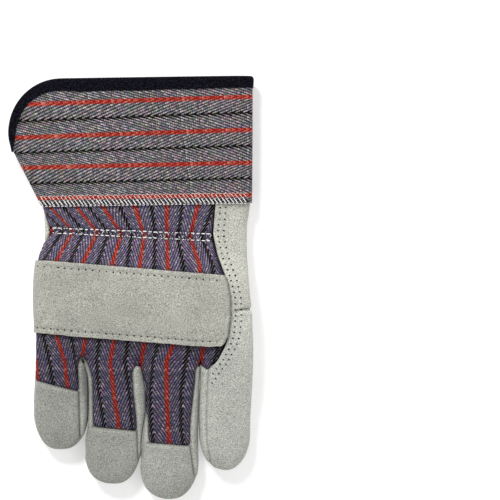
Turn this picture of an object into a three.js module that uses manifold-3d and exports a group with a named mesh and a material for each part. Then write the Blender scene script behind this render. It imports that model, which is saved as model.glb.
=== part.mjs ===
// Leather palm work glove for the right hand, lying on its palm with the thumb folded under it.
//
// Sizes are in millimetres. X runs across the hand, from the little finger (-X) to the index finger (+X).
// Y runs along the hand, with the open cuff at +Y and the fingertips at -Y. Z points up, out of the back
// of the hand. The origin is on the surface that the glove lies on, under the middle of its outline.
//
// The glove is one hollow skin with a wall of leather or cloth. Lofts through a few flattened oval
// sections give its outside, the same lofts drawn smaller give its hollow, and the pieces that are sewn
// together are cut out of the wall along their seams.

import * as THREE from 'three';
import { mergeVertices } from 'three/addons/utils/BufferGeometryUtils.js';
import Module from 'manifold-3d';

const wasm = await Module();
wasm.setup();

// Driving dimensions
const WALL = 1.7; // leather and lined cloth
const SEAM_GAP = 0.3; // space between two pieces that are sewn together
const CUFF_WALL = 1.5; // starched cloth
const TAPE = 0.8; // binding tape
const TAPE_WIDTH = 6; // how far the tape laps over the cuff's edge
const STRAP_THICKNESS = 1.7;
const SEAM_ALONG = 54.5; // where the hand ends and the cuff begins
const CUFF_END = 133.4; // the cuff's cloth edge above its rounded corner
const CUFF_SLANT = 1.8; // how much further the edge runs out on the index side
const CORNER = { x: -44, y: 99.6, radius: 33 }; // rounded corner of the cuff's slit
const FAR = 100; // beyond the glove, for cutting shapes that run past it
const HIGH = 60;

// How square the flattened sections are: 2 is an ellipse
const SQUARE = { hand: 3.6, finger: 2.5, thumb: 3.2, cuff: 4.2 };
// Corners in each section
const SIDES = { hand: 36, finger: 18, thumb: 24, cuff: 28 };

// Sections of the hand, from inside the cuff to the webs between the fingers.
// end is the share of a change of size by which a section also moves along the hand.
const HAND = [
  { along: 62, left: -56.6, right: 76.2, bottom: 0, top: 18.2, end: 0 },
  { along: 54.5, left: -56.5, right: 76.0, bottom: 0, top: 18.2, end: 0 },
  { along: 46, left: -56.3, right: 75.0, bottom: 0, top: 18.2, end: 0 },
  { along: 37, left: -55.8, right: 74.7, bottom: 0.2, top: 18.3, end: 0 },
  { along: 28, left: -57.0, right: 75.0, bottom: 0.9, top: 20.6, end: 0 },
  { along: 17, left: -61.2, right: 75.6, bottom: 3.2, top: 24.4, end: 0 },
  { along: 5, left: -62.8, right: 76.1, bottom: 7.0, top: 27.6, end: 0 },
  { along: -7, left: -63.3, right: 76.8, bottom: 9.5, top: 29, end: 0 },
  { along: -26, left: -62.6, right: 77.6, bottom: 9.5, top: 29, end: 0 },
  { along: -39, left: -61.8, right: 77.8, bottom: 8.4, top: 27.8, end: 0 },
  { along: -44, left: -61.6, right: 77.6, bottom: 9.4, top: 26.6, end: 0.5 },
  { along: -47, left: -61.4, right: 77.4, bottom: 12.2, top: 23.4, end: 0.9 },
  { along: -48, left: -61.2, right: 77.2, bottom: 15.2, top: 20.4, end: 1 },
];

// The thumb lies flat under the palm, and its leather runs on into the heel of the hand.
const THUMB = [
  { along: 46, left: -48, right: -6, bottom: 0, top: 7.6, end: -1 },
  { along: 38, left: -54, right: 14, bottom: 0, top: 8.6, end: 0 },
  { along: 28, left: -56, right: 35, bottom: 0, top: 9.2, end: 0 },
  { along: 18, left: -58.5, right: 48.5, bottom: 0, top: 9.2, end: 0 },
  { along: 8, left: -60, right: 55, bottom: 0, top: 9.2, end: 0 },
  { along: 1, left: -59.5, right: 57.4, bottom: 0, top: 9.2, end: 0 },
  { along: -3, left: -46, right: 57.2, bottom: 0, top: 9.2, end: 0.5 },
  { along: -7, left: -27, right: 56, bottom: 0, top: 9.2, end: 0.7 },
  { along: -11, left: -12, right: 54, bottom: 0, top: 9.2, end: 0.8 },
  { along: -15, left: 3, right: 50.5, bottom: 0.4, top: 8.8, end: 0.9 },
  { along: -18.5, left: 17, right: 46, bottom: 1.2, top: 8, end: 1 },
  { along: -20.8, left: 27, right: 40, bottom: 2.8, top: 6.6, end: 1 },
];

// Fingers. root_ columns are at the webs, tip_ columns where the rounded end starts.
const FINGERS = [
  { name: 'small', root_left: -61.4, root_right: -32.3, tip_left: -62.6, tip_right: -29.8, tip_start: -78.9, tip_end: -102.9 },
  { name: 'ring', root_left: -31.1, root_right: 4.2, tip_left: -28.6, tip_right: 6.0, tip_start: -101, tip_end: -125 },
  { name: 'middle', root_left: 5.4, root_right: 43.2, tip_left: 7.2, tip_right: 43.4, tip_start: -111.2, tip_end: -135.2 },
  { name: 'index', root_left: 44.4, root_right: 77.4, tip_left: 44.6, tip_right: 75.4, tip_start: -92.7, tip_end: -116.7 },
];
const FINGER_ROOT = { along: -30, bottom: 11, top: 27 }; // hidden inside the hand
const FINGER_WEB = { along: -44, bottom: 8.4, top: 26.8 };
const FINGER_TIP = { bottom: 0, top: 19.5 };
const FINGER_ROWS = 3; // sections between the web and the rounded end
const TIP_ROWS = [0.35, 0.62, 0.82, 0.94, 0.99]; // shares of the rounded end's length

// Sections of the cuff, which is wider towards its open end.
const CUFF = [
  { along: 54.8, left: -58.6, right: 76.8, bottom: 2.1, top: 19.3, end: 0 },
  { along: 70, left: -66.2, right: 77.0, bottom: 2.1, top: 19.8, end: 0 },
  { along: 86, left: -74.2, right: 77.1, bottom: 2.1, top: 20, end: 0 },
  { along: 105, left: -83.2, right: 77.2, bottom: 2.1, top: 20, end: 0 },
  { along: 140, left: -100, right: 77.2, bottom: 2.1, top: 20, end: 0 },
];

// The height of the seam that runs round the glove's sides, where the back meets the palm.
const SIDE_SEAM = [
  { along: 70, up: 9 },
  { along: 37, up: 9.2 },
  { along: 28, up: 10.5 },
  { along: 17, up: 13.8 },
  { along: 5, up: 17.3 },
  { along: -7, up: 19.3 },
  { along: -30, up: 19.3 },
  { along: -44, up: 17.8 },
  { along: -79, up: 11.6 },
  { along: -110, up: 9.8 },
  { along: -150, up: 9.8 },
];

// Outlines of the pieces, seen from above, as points [x, y]
const BACK_CLOTH = [
  [53.9, 58.4], [-57, 58.4], [-57, 52.8], [-54, 48.2], [-50.4, 39.8], [-52, 35.2], [-57, 27.5], [-75, 24],
  [-75, -55.4], [-33.1, -65.8], [-33.8, -46.2], [-30.6, -40.8], [-28, -49.8], [-26.5, -71.5], [-24.5, -88.8],
  [3.6, -91.4], [1.4, -51.7], [4.6, -46.6], [8, -49.8], [11, -99], [37.5, -100.6], [38.8, -77.9],
  [41.8, -49.8], [45, -48.2], [48.8, -52.3], [54.6, -46.6], [59.5, -37.6], [62.2, -29.9], [63.5, -17.8],
  [63.2, -5], [60.3, 7.2], [55.2, 20.6], [52, 34.7],
];
const TIP_CAPS = {
  small_fingertip: [[-75, -55.4], [-75, -110], [-30.6, -110], [-32.7, -95], [-33.1, -65.8]],
  ring_fingertip: [[-29.2, -88.5], [-29.2, -130], [6.5, -130], [4.6, -113.8], [3.6, -91.4], [-24.5, -88.8]],
  middle_fingertip: [[6.6, -98.8], [6.6, -140], [43, -140], [40.4, -122], [37.5, -100.6], [11, -99]],
};
const HEEL = [
  [-75, 60], [-19.5, 60], [-19, 54], [42, 23.4], [42, 12], [-45, 12], [-56, 4], [-58, -1], [-75, -1],
];
const SIDE_LEATHER = [[-18.6, 60], [-18.6, 53], [40, -13.3], [90, -13.3], [90, 60]];
const MIDDLE_RING_FRONT = [
  [43.9, -34], [40, -30.6], [17.7, -31.6], [-3, -32.8], [-15, -30.6], [-22, -34], [-31.6, -46],
  [-29.3, -85], [-29.2, -145], [43.9, -145],
];
const STRAP = { left: -75, top_left: 18.3, bottom_left: -26.4, slope: -0.08, corner: 4 };
const PATCH = { left_root: -3, left_top: -8.5, right: 50, root: 50, top: 97.6, corner: 10 };

const lerp = THREE.MathUtils.lerp;

// A closed mesh of shared points and triangles as a solid, turned outwards if it is inside out.
function solidOf(points, triangles) {
  const vertices = new Float32Array(points.flat());
  const corners = new Uint32Array(triangles.flat());
  let volume = 0;
  for (const [a, b, c] of triangles) {
    const [p, q, r] = [a, b, c].map((i) => new THREE.Vector3(...points[i]));
    volume += p.dot(q.cross(r));
  }
  if (volume < 0) {
    for (let i = 0; i < corners.length; i += 3) {
      [corners[i], corners[i + 1]] = [corners[i + 1], corners[i]];
    }
  }
  return new wasm.Manifold(new wasm.Mesh({ numProp: 3, vertProperties: vertices, triVerts: corners }));
}

// A flattened oval across the hand. grow moves its surface outwards.
function ovalRing(section, grow, sides, square) {
  const halfWidth = (section.right - section.left) / 2 + grow;
  const halfHeight = (section.top - section.bottom) / 2 + grow;
  const centre = [(section.right + section.left) / 2, (section.top + section.bottom) / 2];
  const bent = (value) => Math.sign(value) * Math.abs(value) ** (2 / square);
  return Array.from({ length: sides }, (_, i) => {
    const turn = (2 * Math.PI * (i + 0.5)) / sides;
    return [
      centre[0] + halfWidth * bent(Math.cos(turn)),
      section.along - grow * section.end,
      centre[1] + halfHeight * bent(Math.sin(turn)),
    ];
  });
}

// A solid through rings that all have as many points, closed at both ends.
function loftRings(rings) {
  const sides = rings[0].length;
  const points = rings.flat();
  const triangles = [];
  for (let row = 0; row + 1 < rings.length; row++) {
    for (let i = 0; i < sides; i++) {
      const a = row * sides + i;
      const b = row * sides + ((i + 1) % sides);
      triangles.push([a, b, a + sides], [b, b + sides, a + sides]);
    }
  }
  const last = (rings.length - 1) * sides;
  for (let i = 1; i + 1 < sides; i++) {
    triangles.push([0, i + 1, i], [last, last + i, last + i + 1]);
  }
  return solidOf(points, triangles);
}

const loft = (sections, grow, sides, square) =>
  loftRings(sections.map((section) => ovalRing(section, grow, sides, square)));

// The sections of one finger: straight from the hand to the rounded end, which closes as a half ellipse.
function fingerSections(finger, grow) {
  const straight = [{ ...FINGER_ROOT, left: finger.root_left + 0.6, right: finger.root_right - 0.6, end: 0 }];
  for (let i = 0; i <= FINGER_ROWS; i++) {
    const share = i / FINGER_ROWS;
    straight.push({
      along: lerp(FINGER_WEB.along, finger.tip_start, share),
      left: lerp(finger.root_left, finger.tip_left, share),
      right: lerp(finger.root_right, finger.tip_right, share),
      bottom: lerp(FINGER_WEB.bottom, FINGER_TIP.bottom, share),
      top: lerp(FINGER_WEB.top, FINGER_TIP.top, share),
      end: 0,
    });
  }
  const length = finger.tip_start - finger.tip_end;
  const middle = (finger.tip_left + finger.tip_right) / 2;
  const halfWidth = (finger.tip_right - finger.tip_left) / 2;
  const halfHeight = (FINGER_TIP.top - FINGER_TIP.bottom) / 2;
  const level = (FINGER_TIP.top + FINGER_TIP.bottom) / 2;
  const rounded = TIP_ROWS.map((share) => {
    const width = (halfWidth + grow) * Math.sqrt(1 - share ** 2) - grow;
    const height = (halfHeight + grow) * (1 - share ** 2) ** 0.42 - grow;
    return {
      along: finger.tip_start - length * share,
      left: middle - width,
      right: middle + width,
      bottom: level - height,
      top: level + height,
      end: share,
    };
  });
  return [...straight, ...rounded];
}

// The whole outside of the hand and fingers, or its hollow when grow is negative.
function handSolid(grow) {
  const hand = loft(HAND, grow, SIDES.hand, SQUARE.hand);
  return FINGERS.reduce(
    (body, finger) => body.add(loft(fingerSections(finger, grow), grow, SIDES.finger, SQUARE.finger)),
    hand,
  );
}

const thumbSolid = (grow) => loft(THUMB, grow, SIDES.thumb, SQUARE.thumb);
const cuffSolid = (grow) => loft(CUFF.map((section, i) => ({
  ...section,
  along: section.along + (i === 0 && grow < 0 ? grow : 0),
})), grow, SIDES.cuff, SQUARE.cuff);

// An upright prism over an outline seen from above.
function prism(outline, low, high) {
  const shape = new THREE.Shape(outline.map(([x, y]) => new THREE.Vector2(x, y)));
  const geometry = new THREE.ExtrudeGeometry(shape, { depth: high - low, bevelEnabled: false, steps: 1 });
  geometry.translate(0, 0, low);
  return manifoldOf(geometry);
}

// A three.js geometry as a solid.
function manifoldOf(geometry) {
  const bare = geometry.clone();
  bare.deleteAttribute('normal');
  bare.deleteAttribute('uv');
  const merged = mergeVertices(bare, 1e-4);
  const position = merged.getAttribute('position');
  const points = Array.from({ length: position.count }, (_, i) => [
    position.getX(i), position.getY(i), position.getZ(i),
  ]);
  const index = merged.getIndex().array;
  const triangles = [];
  for (let i = 0; i < index.length; i += 3) {
    triangles.push([index[i], index[i + 1], index[i + 2]]);
  }
  return solidOf(points, triangles);
}

// The same outline drawn larger by a distance, with mitred corners.
function widened(outline, distance) {
  const points = outline.map(([x, y]) => new THREE.Vector2(x, y));
  const turn = THREE.ShapeUtils.isClockWise(points) ? -1 : 1;
  return points.map((point, i) => {
    const before = points[(i + points.length - 1) % points.length];
    const after = points[(i + 1) % points.length];
    const inward = point.clone().sub(before).normalize();
    const onward = after.clone().sub(point).normalize();
    const normal = new THREE.Vector2(inward.y + onward.y, -inward.x - onward.x).normalize();
    const stretch = Math.max(0.4, normal.dot(new THREE.Vector2(inward.y, -inward.x)));
    const moved = normal.multiplyScalar((turn * distance) / stretch);
    return [point.x + moved.x, point.y + moved.y];
  });
}

// Everything above the side seam, moved down by drop.
function aboveSideSeam(drop) {
  const low = SIDE_SEAM.map(({ along, up }) => [along, up - drop]);
  const outline = [...low, [SIDE_SEAM.at(-1).along, HIGH], [SIDE_SEAM[0].along, HIGH]];
  const shape = new THREE.Shape(outline.map(([x, y]) => new THREE.Vector2(x, y)));
  const geometry = new THREE.ExtrudeGeometry(shape, { depth: 2 * FAR, bevelEnabled: false, steps: 1 });
  geometry.translate(0, 0, -FAR);
  // The outline was drawn with along as x and height as y, and is turned to stand across the hand.
  geometry.applyMatrix4(new THREE.Matrix4().makeBasis(
    new THREE.Vector3(0, 1, 0), new THREE.Vector3(0, 0, 1), new THREE.Vector3(1, 0, 0),
  ));
  return manifoldOf(geometry);
}

// Cuts a piece out of the wall that is left, and leaves a seam gap round it.
function carve(rest, outline, region) {
  const cutter = prism(outline, -HIGH, HIGH);
  const wider = prism(widened(outline, SEAM_GAP), -HIGH, HIGH);
  const piece = rest.intersect(region ? cutter.intersect(region.tight) : cutter);
  return [piece, rest.subtract(region ? wider.intersect(region.loose) : wider)];
}

// The largest body of a solid, without the crumbs that a cut can leave.
function largest(solid) {
  return solid.decompose().sort((a, b) => b.volume() - a.volume())[0];
}

// Points of an arc, from one angle to another in degrees.
function arc(x, y, radius, from, to, steps) {
  return Array.from({ length: steps + 1 }, (_, i) => {
    const angle = THREE.MathUtils.degToRad(lerp(from, to, i / steps));
    return [x + radius * Math.cos(angle), y + radius * Math.sin(angle)];
  });
}

// The hand's wall, and its pieces
const handOutside = handSolid(0);
const handHollow = handSolid(-WALL);
const thumbOutside = thumbSolid(0);
const thumbHollow = thumbSolid(-WALL);
const beyondSeam = prism([[-FAR, SEAM_ALONG], [FAR, SEAM_ALONG], [FAR, FAR], [-FAR, FAR]], -HIGH, HIGH);
const handWall = handOutside.subtract(handHollow).subtract(beyondSeam);

const upper = { tight: aboveSideSeam(0), loose: aboveSideSeam(SEAM_GAP) };
const everything = prism([[-FAR, -2 * FAR], [FAR, -2 * FAR], [FAR, 2 * FAR], [-FAR, 2 * FAR]], -HIGH, HIGH);
const lower = { tight: everything.subtract(aboveSideSeam(SEAM_GAP)), loose: everything.subtract(aboveSideSeam(0)) };

let rest = handWall;
let handBack;
[handBack, rest] = carve(rest, BACK_CLOTH, upper);
const tipCaps = {};
for (const [name, outline] of Object.entries(TIP_CAPS)) {
  [tipCaps[name], rest] = carve(rest, outline, upper);
}
let heel;
[heel, rest] = carve(rest, HEEL, lower);
const thumb = thumbOutside.subtract(thumbHollow).subtract(handHollow).add(heel.subtract(thumbHollow));
rest = rest.subtract(thumbSolid(SEAM_GAP));
let sideLeather;
[sideLeather, rest] = carve(rest, SIDE_LEATHER);
let middleRingFront;
[middleRingFront, rest] = carve(rest, MIDDLE_RING_FRONT);

// The wrist patch is a tongue of the side leather that is sewn on over the cuff's palm side.
const patchOutline = [
  [PATCH.left_root, PATCH.root],
  [PATCH.right, PATCH.root],
  ...arc(PATCH.right - PATCH.corner, PATCH.top - PATCH.corner, PATCH.corner, 0, 90, 5),
  ...arc(PATCH.left_top + PATCH.corner, PATCH.top - PATCH.corner, PATCH.corner, 90, 180, 5),
];
const wristPatch = prism(patchOutline, 0, WALL);
const sideWithPatch = sideLeather.add(wristPatch.subtract(handHollow));

// The knuckle strap lies on the back cloth and ends beside the side leather.
const strapEdge = (x, left) => left + STRAP.slope * (x - STRAP.left);
const strapEnd = BACK_CLOTH.slice(-6).map(([x, y]) => [x - 0.4, y]).filter(([, y]) => y > -31 && y < 8);
const strapCorner = arc(strapEnd[0][0] - STRAP.corner, -32.5, STRAP.corner, 0, -85, 4);
const strapOutline = [
  [STRAP.left, STRAP.top_left],
  [STRAP.left, STRAP.bottom_left],
  ...strapCorner.reverse(),
  ...strapEnd,
  [strapEnd.at(-1)[0], strapEdge(strapEnd.at(-1)[0], STRAP.top_left)],
];
const knuckleStrap = handSolid(SEAM_GAP + STRAP_THICKNESS)
  .subtract(handSolid(SEAM_GAP))
  .intersect(prism(strapOutline, -HIGH, HIGH))
  .intersect(upper.tight);

// The cuff is a flat tube, slit at the little finger's side, with a rounded corner on both leaves.
function cuffEdge(radius) {
  const top = CORNER.y + radius;
  return [[FAR, top + CUFF_SLANT], ...arc(CORNER.x, CORNER.y, radius, 90, 206, 11)];
}
const cuffShape = (radius) => prism([...cuffEdge(radius), [-FAR, 79], [-FAR, 40], [FAR, 40]], -HIGH, HIGH);
const beforeCuff = prism([[-FAR, 0], [FAR, 0], [FAR, CUFF[0].along], [-FAR, CUFF[0].along]], -HIGH, HIGH);
const cuffCloth = cuffSolid(0).subtract(cuffSolid(-CUFF_WALL)).intersect(cuffShape(CORNER.radius)).subtract(beforeCuff);

// The binding tape folds over the cuff's edge, outside and inside.
const tapeReach = SEAM_GAP + TAPE;
const tapeBand = prism(
  [...cuffEdge(CORNER.radius + tapeReach), ...cuffEdge(CORNER.radius - TAPE_WIDTH).reverse()], -HIGH, HIGH,
);
const tapeRoom = cuffSolid(SEAM_GAP)
  .subtract(cuffSolid(-CUFF_WALL - SEAM_GAP))
  .intersect(cuffShape(CORNER.radius + SEAM_GAP));
const cuffBinding = cuffSolid(tapeReach).subtract(cuffSolid(-CUFF_WALL - tapeReach)).intersect(tapeBand).subtract(tapeRoom);

// Materials
const suede = (colour) => new THREE.MeshStandardMaterial({ color: colour, roughness: 0.95, metalness: 0 });
const paleSuede = suede(0xb9b9b0);
const greySuede = suede(0xa3a69e);
const backCloth = new THREE.MeshStandardMaterial({ color: 0x6a6076, roughness: 0.9, metalness: 0 });
const cuffFabric = new THREE.MeshStandardMaterial({ color: 0x77707a, roughness: 0.9, metalness: 0 });
const tape = new THREE.MeshStandardMaterial({ color: 0x14141c, roughness: 0.6, metalness: 0 });

function meshOf(name, solid, material) {
  const { vertProperties, triVerts } = largest(solid).getMesh();
  const geometry = new THREE.BufferGeometry();
  geometry.setAttribute('position', new THREE.BufferAttribute(new Float32Array(vertProperties), 3));
  geometry.setIndex(new THREE.BufferAttribute(new Uint32Array(triVerts), 1));
  geometry.computeVertexNormals();
  const mesh = new THREE.Mesh(geometry, material);
  mesh.name = name;
  return mesh;
}

const glove = new THREE.Group();
glove.add(
  meshOf('cuff', cuffCloth, cuffFabric),
  meshOf('cuff_binding', cuffBinding, tape),
  meshOf('hand_back', handBack, backCloth),
  meshOf('knuckle_strap', knuckleStrap, paleSuede),
  meshOf('side_leather', sideWithPatch, paleSuede),
  meshOf('palm', rest, greySuede),
  meshOf('middle_ring_front', middleRingFront, greySuede),
  meshOf('thumb', thumb, paleSuede),
  ...Object.entries(tipCaps).map(([name, solid]) => meshOf(name, solid, greySuede)),
);

export default glove;
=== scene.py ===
# %% [markdown]
# # A leather palm work glove
# This lesson dresses the plain solids of a right-hand work glove with soft leather, striped cloth,
# seams and stitches. The glove lies on its palm, its fingers point towards -Y and its open cuff
# towards +Y. The first cell loads the solids, which stay where they are and fix every size.

# %% The frame
import math

import bpy
import numpy as np
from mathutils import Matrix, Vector, noise
from mathutils.bvhtree import BVHTree
from mathutils.kdtree import KDTree


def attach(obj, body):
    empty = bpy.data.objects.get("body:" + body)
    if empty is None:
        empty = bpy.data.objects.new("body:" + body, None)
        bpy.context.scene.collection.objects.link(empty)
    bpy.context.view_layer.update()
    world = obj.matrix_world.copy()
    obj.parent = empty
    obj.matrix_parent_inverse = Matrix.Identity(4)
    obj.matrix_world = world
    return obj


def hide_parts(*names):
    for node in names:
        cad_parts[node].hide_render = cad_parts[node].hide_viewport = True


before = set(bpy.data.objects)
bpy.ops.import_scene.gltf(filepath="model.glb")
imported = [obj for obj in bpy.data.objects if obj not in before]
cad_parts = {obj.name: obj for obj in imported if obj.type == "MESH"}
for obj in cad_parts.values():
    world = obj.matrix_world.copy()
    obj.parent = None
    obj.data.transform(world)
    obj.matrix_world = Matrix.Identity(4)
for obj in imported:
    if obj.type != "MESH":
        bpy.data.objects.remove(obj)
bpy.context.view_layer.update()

# %% [markdown]
# ## Small tools
# Every table in this file is in millimetres, because a glove maker works in millimetres, while
# Blender works in metres. `mesh_from` makes the change in one place. The other tools select one
# object before an operator acts on it, and add and apply a modifier in one step.

# %% Small tools
MM = 0.001


def select_only(*objects):
    bpy.ops.object.select_all(action="DESELECT")
    for obj in objects:
        obj.select_set(True)
    bpy.context.view_layer.objects.active = objects[0]


def mesh_from(name, points, faces):
    """A new object from points in millimetres."""
    mesh = bpy.data.meshes.new(name)
    mesh.from_pydata((np.asarray(points) * MM).tolist(), [], faces)
    mesh.update()
    obj = bpy.data.objects.new(name, mesh)
    bpy.context.scene.collection.objects.link(obj)
    return obj


def copy_of(obj, name):
    twin = obj.copy()
    twin.data = obj.data.copy()
    twin.name = twin.data.name = name
    bpy.context.scene.collection.objects.link(twin)
    return twin


def throw_away(*objects):
    for obj in objects:
        bpy.data.objects.remove(obj, do_unlink=True)


def apply_modifier(obj, kind, **settings):
    select_only(obj)
    modifier = obj.modifiers.new(kind.lower(), kind)
    for setting, value in settings.items():
        setattr(modifier, setting, value)
    bpy.ops.object.modifier_apply(modifier=modifier.name)


def read_all(items, name, columns=1, kind=float):
    """One value of every item in a mesh's list, as an array."""
    flat = np.empty(len(items) * columns, dtype=kind)
    items.foreach_get(name, flat)
    return flat.reshape(-1, columns) if columns > 1 else flat


def points_of(obj):
    """All of a mesh's points in millimetres, one row each."""
    return read_all(obj.data.vertices, "co", 3) / MM


def place_points(obj, points):
    obj.data.vertices.foreach_set("co", (np.asarray(points) * MM).ravel())
    obj.data.update()


def smooth_shading(obj, angle=40):
    select_only(obj)
    bpy.ops.object.shade_smooth_by_angle(angle=math.radians(angle))


def face_outwards(obj):
    select_only(obj)
    bpy.ops.object.mode_set(mode="EDIT")
    bpy.ops.mesh.select_all(action="SELECT")
    bpy.ops.mesh.normals_make_consistent(inside=False)
    bpy.ops.object.mode_set(mode="OBJECT")


def tube_faces(rows, sides):
    """The walls between rings of points, and the two ends that close the tube."""
    walls = []
    for row in range(rows - 1):
        for i in range(sides):
            a, b = row * sides + i, row * sides + (i + 1) % sides
            walls.append((a, b, b + sides, a + sides))
    return walls, [tuple(reversed(range(sides))), tuple(range((rows - 1) * sides, rows * sides))]


def run_along(line):
    """How far along a line each of its points lies."""
    return np.concatenate([[0], np.cumsum(np.linalg.norm(np.diff(line, axis=0), axis=1))])


def unit(vectors):
    return vectors / np.linalg.norm(vectors, axis=1)[:, None]


def smoothstep(low, high, value):
    share = np.clip((value - low) / (high - low), 0, 1)
    return share * share * (3 - 2 * share)


def bump(distance, middle, width):
    return np.exp(-(((distance - middle) / width) ** 2))


def soft_noise(points, size, seed):
    """Smooth noise from -1 to 1 for each row of points, with bumps about size millimetres wide."""
    shift = Vector((seed * 17.3, seed * 5.1, seed * 9.7))
    return np.array([noise.noise(Vector(point) / size + shift) for point in points])


print("tools ready")

# %% [markdown]
# ## Where the camera and the lights stand
# The camera looks straight down through a long lens, so nothing leans. The picture is 320 mm wide,
# and the glove lies in its left half. A large soft light above and a weaker one from the far side
# give low, even shading.

# %% Camera, floor and lights
PICTURE_WIDTH = 320
PICTURE_MIDDLE = (75.5, 24.5)
LENS = 200
SENSOR = 36
MIDDLE_HEIGHT = 14
FLOOR_SIZE = 6
FLOOR_LEVEL = -0.0002
camera_height = MIDDLE_HEIGHT + PICTURE_WIDTH * LENS / SENSOR

bpy.ops.object.camera_add(location=Vector((*PICTURE_MIDDLE, camera_height)) * MM)
camera = bpy.context.object
camera.data.lens = LENS
camera.data.sensor_width = SENSOR
camera.data.clip_end = 50
bpy.context.scene.camera = camera
bpy.context.scene.view_settings.view_transform = "Standard"

bpy.ops.mesh.primitive_plane_add(size=FLOOR_SIZE, location=(0, 0, FLOOR_LEVEL))
floor = bpy.context.object
floor.name = "floor"


def area_light(name, place, aim, size, power):
    bpy.ops.object.light_add(type="AREA", location=place)
    light = bpy.context.object
    light.name = name
    light.data.shape = "DISK"
    light.data.size = size
    light.data.energy = power
    light.rotation_euler = (Vector(aim) - Vector(place)).to_track_quat("-Z", "Y").to_euler()


area_light("key", (-0.55, 1.15, 1.3), (0, 0, 0), 0.55, 24)
area_light("fill", (1.0, -0.6, 1.5), (0, 0, 0), 1.2, 6)
world = bpy.data.worlds.new("studio")
bpy.context.scene.world = world
world.use_nodes = True
background = world.node_tree.nodes["Background"]
background.inputs["Color"].default_value = (1, 1, 1, 1)
background.inputs["Strength"].default_value = 0.5
print("camera", round(camera_height), "mm above the floor")

# %% [markdown]
# ## The glove's form
# A glove is one hollow skin. The hand, the folded thumb and the four fingers are lofts: each is a
# row of flattened ovals, and a short table says how wide and how high they are along the hand.
# A primitive can't hold such sections, so their rings are worked out and joined with faces.
# Between the rows of a table the loft follows smooth curves, so that no section shows as a crease.

# %% Tables of the form
# along, left, right, bottom, top
HAND = np.array([
    (64, -57.0, 75.8, 0, 17.5),
    (54.5, -57.0, 75.6, 0, 17.5),
    (46, -56.2, 74.4, 0, 17.7),
    (37, -55.6, 73.3, 0.2, 17.9),
    (28, -56.3, 73.2, 0.9, 20.4),
    (22, -58.9, 73.4, 2.2, 22.6),
    (17, -60.0, 73.8, 3.4, 24.4),
    (5, -61.1, 74.6, 8.6, 27.6),
    (-7, -61.2, 75.6, 11.6, 29.0),
    (-24, -60.6, 77.2, 10.8, 28.8),
    (-36, -60.6, 77.4, 9.0, 26.8),
    (-43, -60.4, 77.0, 10.8, 23.2),
    (-47.5, -59.8, 76.4, 14.0, 18.4),
])
THUMB = np.array([
    (46, -48, -6, 0, 7.4),
    (38, -54, 14, 0, 8.4),
    (28, -56, 35, 0, 8.8),
    (18, -58.5, 48.5, 0, 8.8),
    (8, -60, 55, 0, 8.8),
    (1, -59.5, 57.4, 0, 8.8),
    (-3, -46, 57.2, 0, 8.8),
    (-7, -27, 56, 0, 8.8),
    (-11, -12, 54, 0, 8.7),
    (-15, 3, 50.5, 0.3, 8.3),
    (-18.5, 17, 46, 1.1, 7.5),
    (-20.8, 27, 40, 2.7, 6.1),
])
# name: root left, root right, tip left, tip right, where the rounded end starts and ends, how
# blunt it is, how far it turns towards the index finger
FINGERS = {
    "small": (-61.1, -30.6, -62.9, -30.4, -80.4, -103.4, 0.74, 0.8),
    "ring": (-28.0, 4.4, -28.0, 4.8, -101, -125.3, 0.72, -0.6),
    "middle": (7.0, 42.4, 7.4, 41.8, -111.2, -135.2, 0.8, -0.9),
    "index": (45.0, 77.6, 44.4, 75.7, -92.7, -117, 1.0, 0.0),
}
# where two fingers touch, along: across
GAPS = [
    {-44: -32.2, -50: -29.6, -56: -28.2, -66: -27.7, -80: -27.9, -90: -28.8, -97: -30, -104: -30.4,
     -125: -30.6},
    {-47: 4.6, -52: 6.2, -64: 8.9, -76: 9.0, -97: 6.3, -113: 5.5, -125: 5.2},
    {-48: 43.8, -54: 43.6, -76: 42.5, -97: 42.5, -110: 42.7},
]
GAP_ENDS = (-98, -112, -103)
GAP_WIDTH = 0.3
GAP_REACH = 13
WEB_SLACK = 0.35
FINGER_ROOT = (-22, 13, 28)
FINGER_WEB = (-44, 9.2, 26.4)
FINGER_END = (0, 19.3)
SQUARE = {"hand": 3.6, "finger": 2.35, "thumb": 3.2, "cuff": 4.2}
RING_SIDES = 120
ROW_STEP = 1.5


def smooth_rows(table, wanted):
    """Rows of a table at the wanted places, on curves that never overshoot the rows they join."""
    order = np.argsort(table[:, 0])
    along, columns = table[order, 0], table[order, 1:]
    length = np.diff(along)
    slope = np.diff(columns, axis=0) / length[:, None]
    tangent = np.zeros_like(columns)
    tangent[0], tangent[-1] = slope[0], slope[-1]
    product = slope[:-1] * slope[1:]
    total = np.where(product > 0, slope[:-1] + slope[1:], 1)
    tangent[1:-1] = np.where(product > 0, 2 * product / total, 0)
    row = np.clip(np.searchsorted(along, wanted) - 1, 0, len(length) - 1)
    t = ((wanted - along[row]) / length[row])[:, None]
    step = length[row][:, None]
    return (
        columns[row] * (1 + 2 * t) * (1 - t) ** 2
        + columns[row + 1] * t ** 2 * (3 - 2 * t)
        + tangent[row] * step * t * (1 - t) ** 2
        - tangent[row + 1] * step * t ** 2 * (1 - t)
    )


def oval(along, left, right, bottom, top, square):
    """One flattened oval across the hand."""
    turn = (np.arange(RING_SIDES) + 0.5) * 2 * math.pi / RING_SIDES

    def bent(value):
        return np.sign(value) * np.abs(value) ** (2 / square)

    x = (left + right) / 2 + (right - left) / 2 * bent(np.cos(turn))
    z = (bottom + top) / 2 + (top - bottom) / 2 * bent(np.sin(turn))
    return np.column_stack([x, np.full(RING_SIDES, float(along)), z])


def loft(name, rings):
    """A closed skin through rings that all have as many points."""
    walls, ends = tube_faces(len(rings), len(rings[0]))
    obj = mesh_from(name, np.vstack(rings), walls + ends)
    face_outwards(obj)
    return obj


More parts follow.
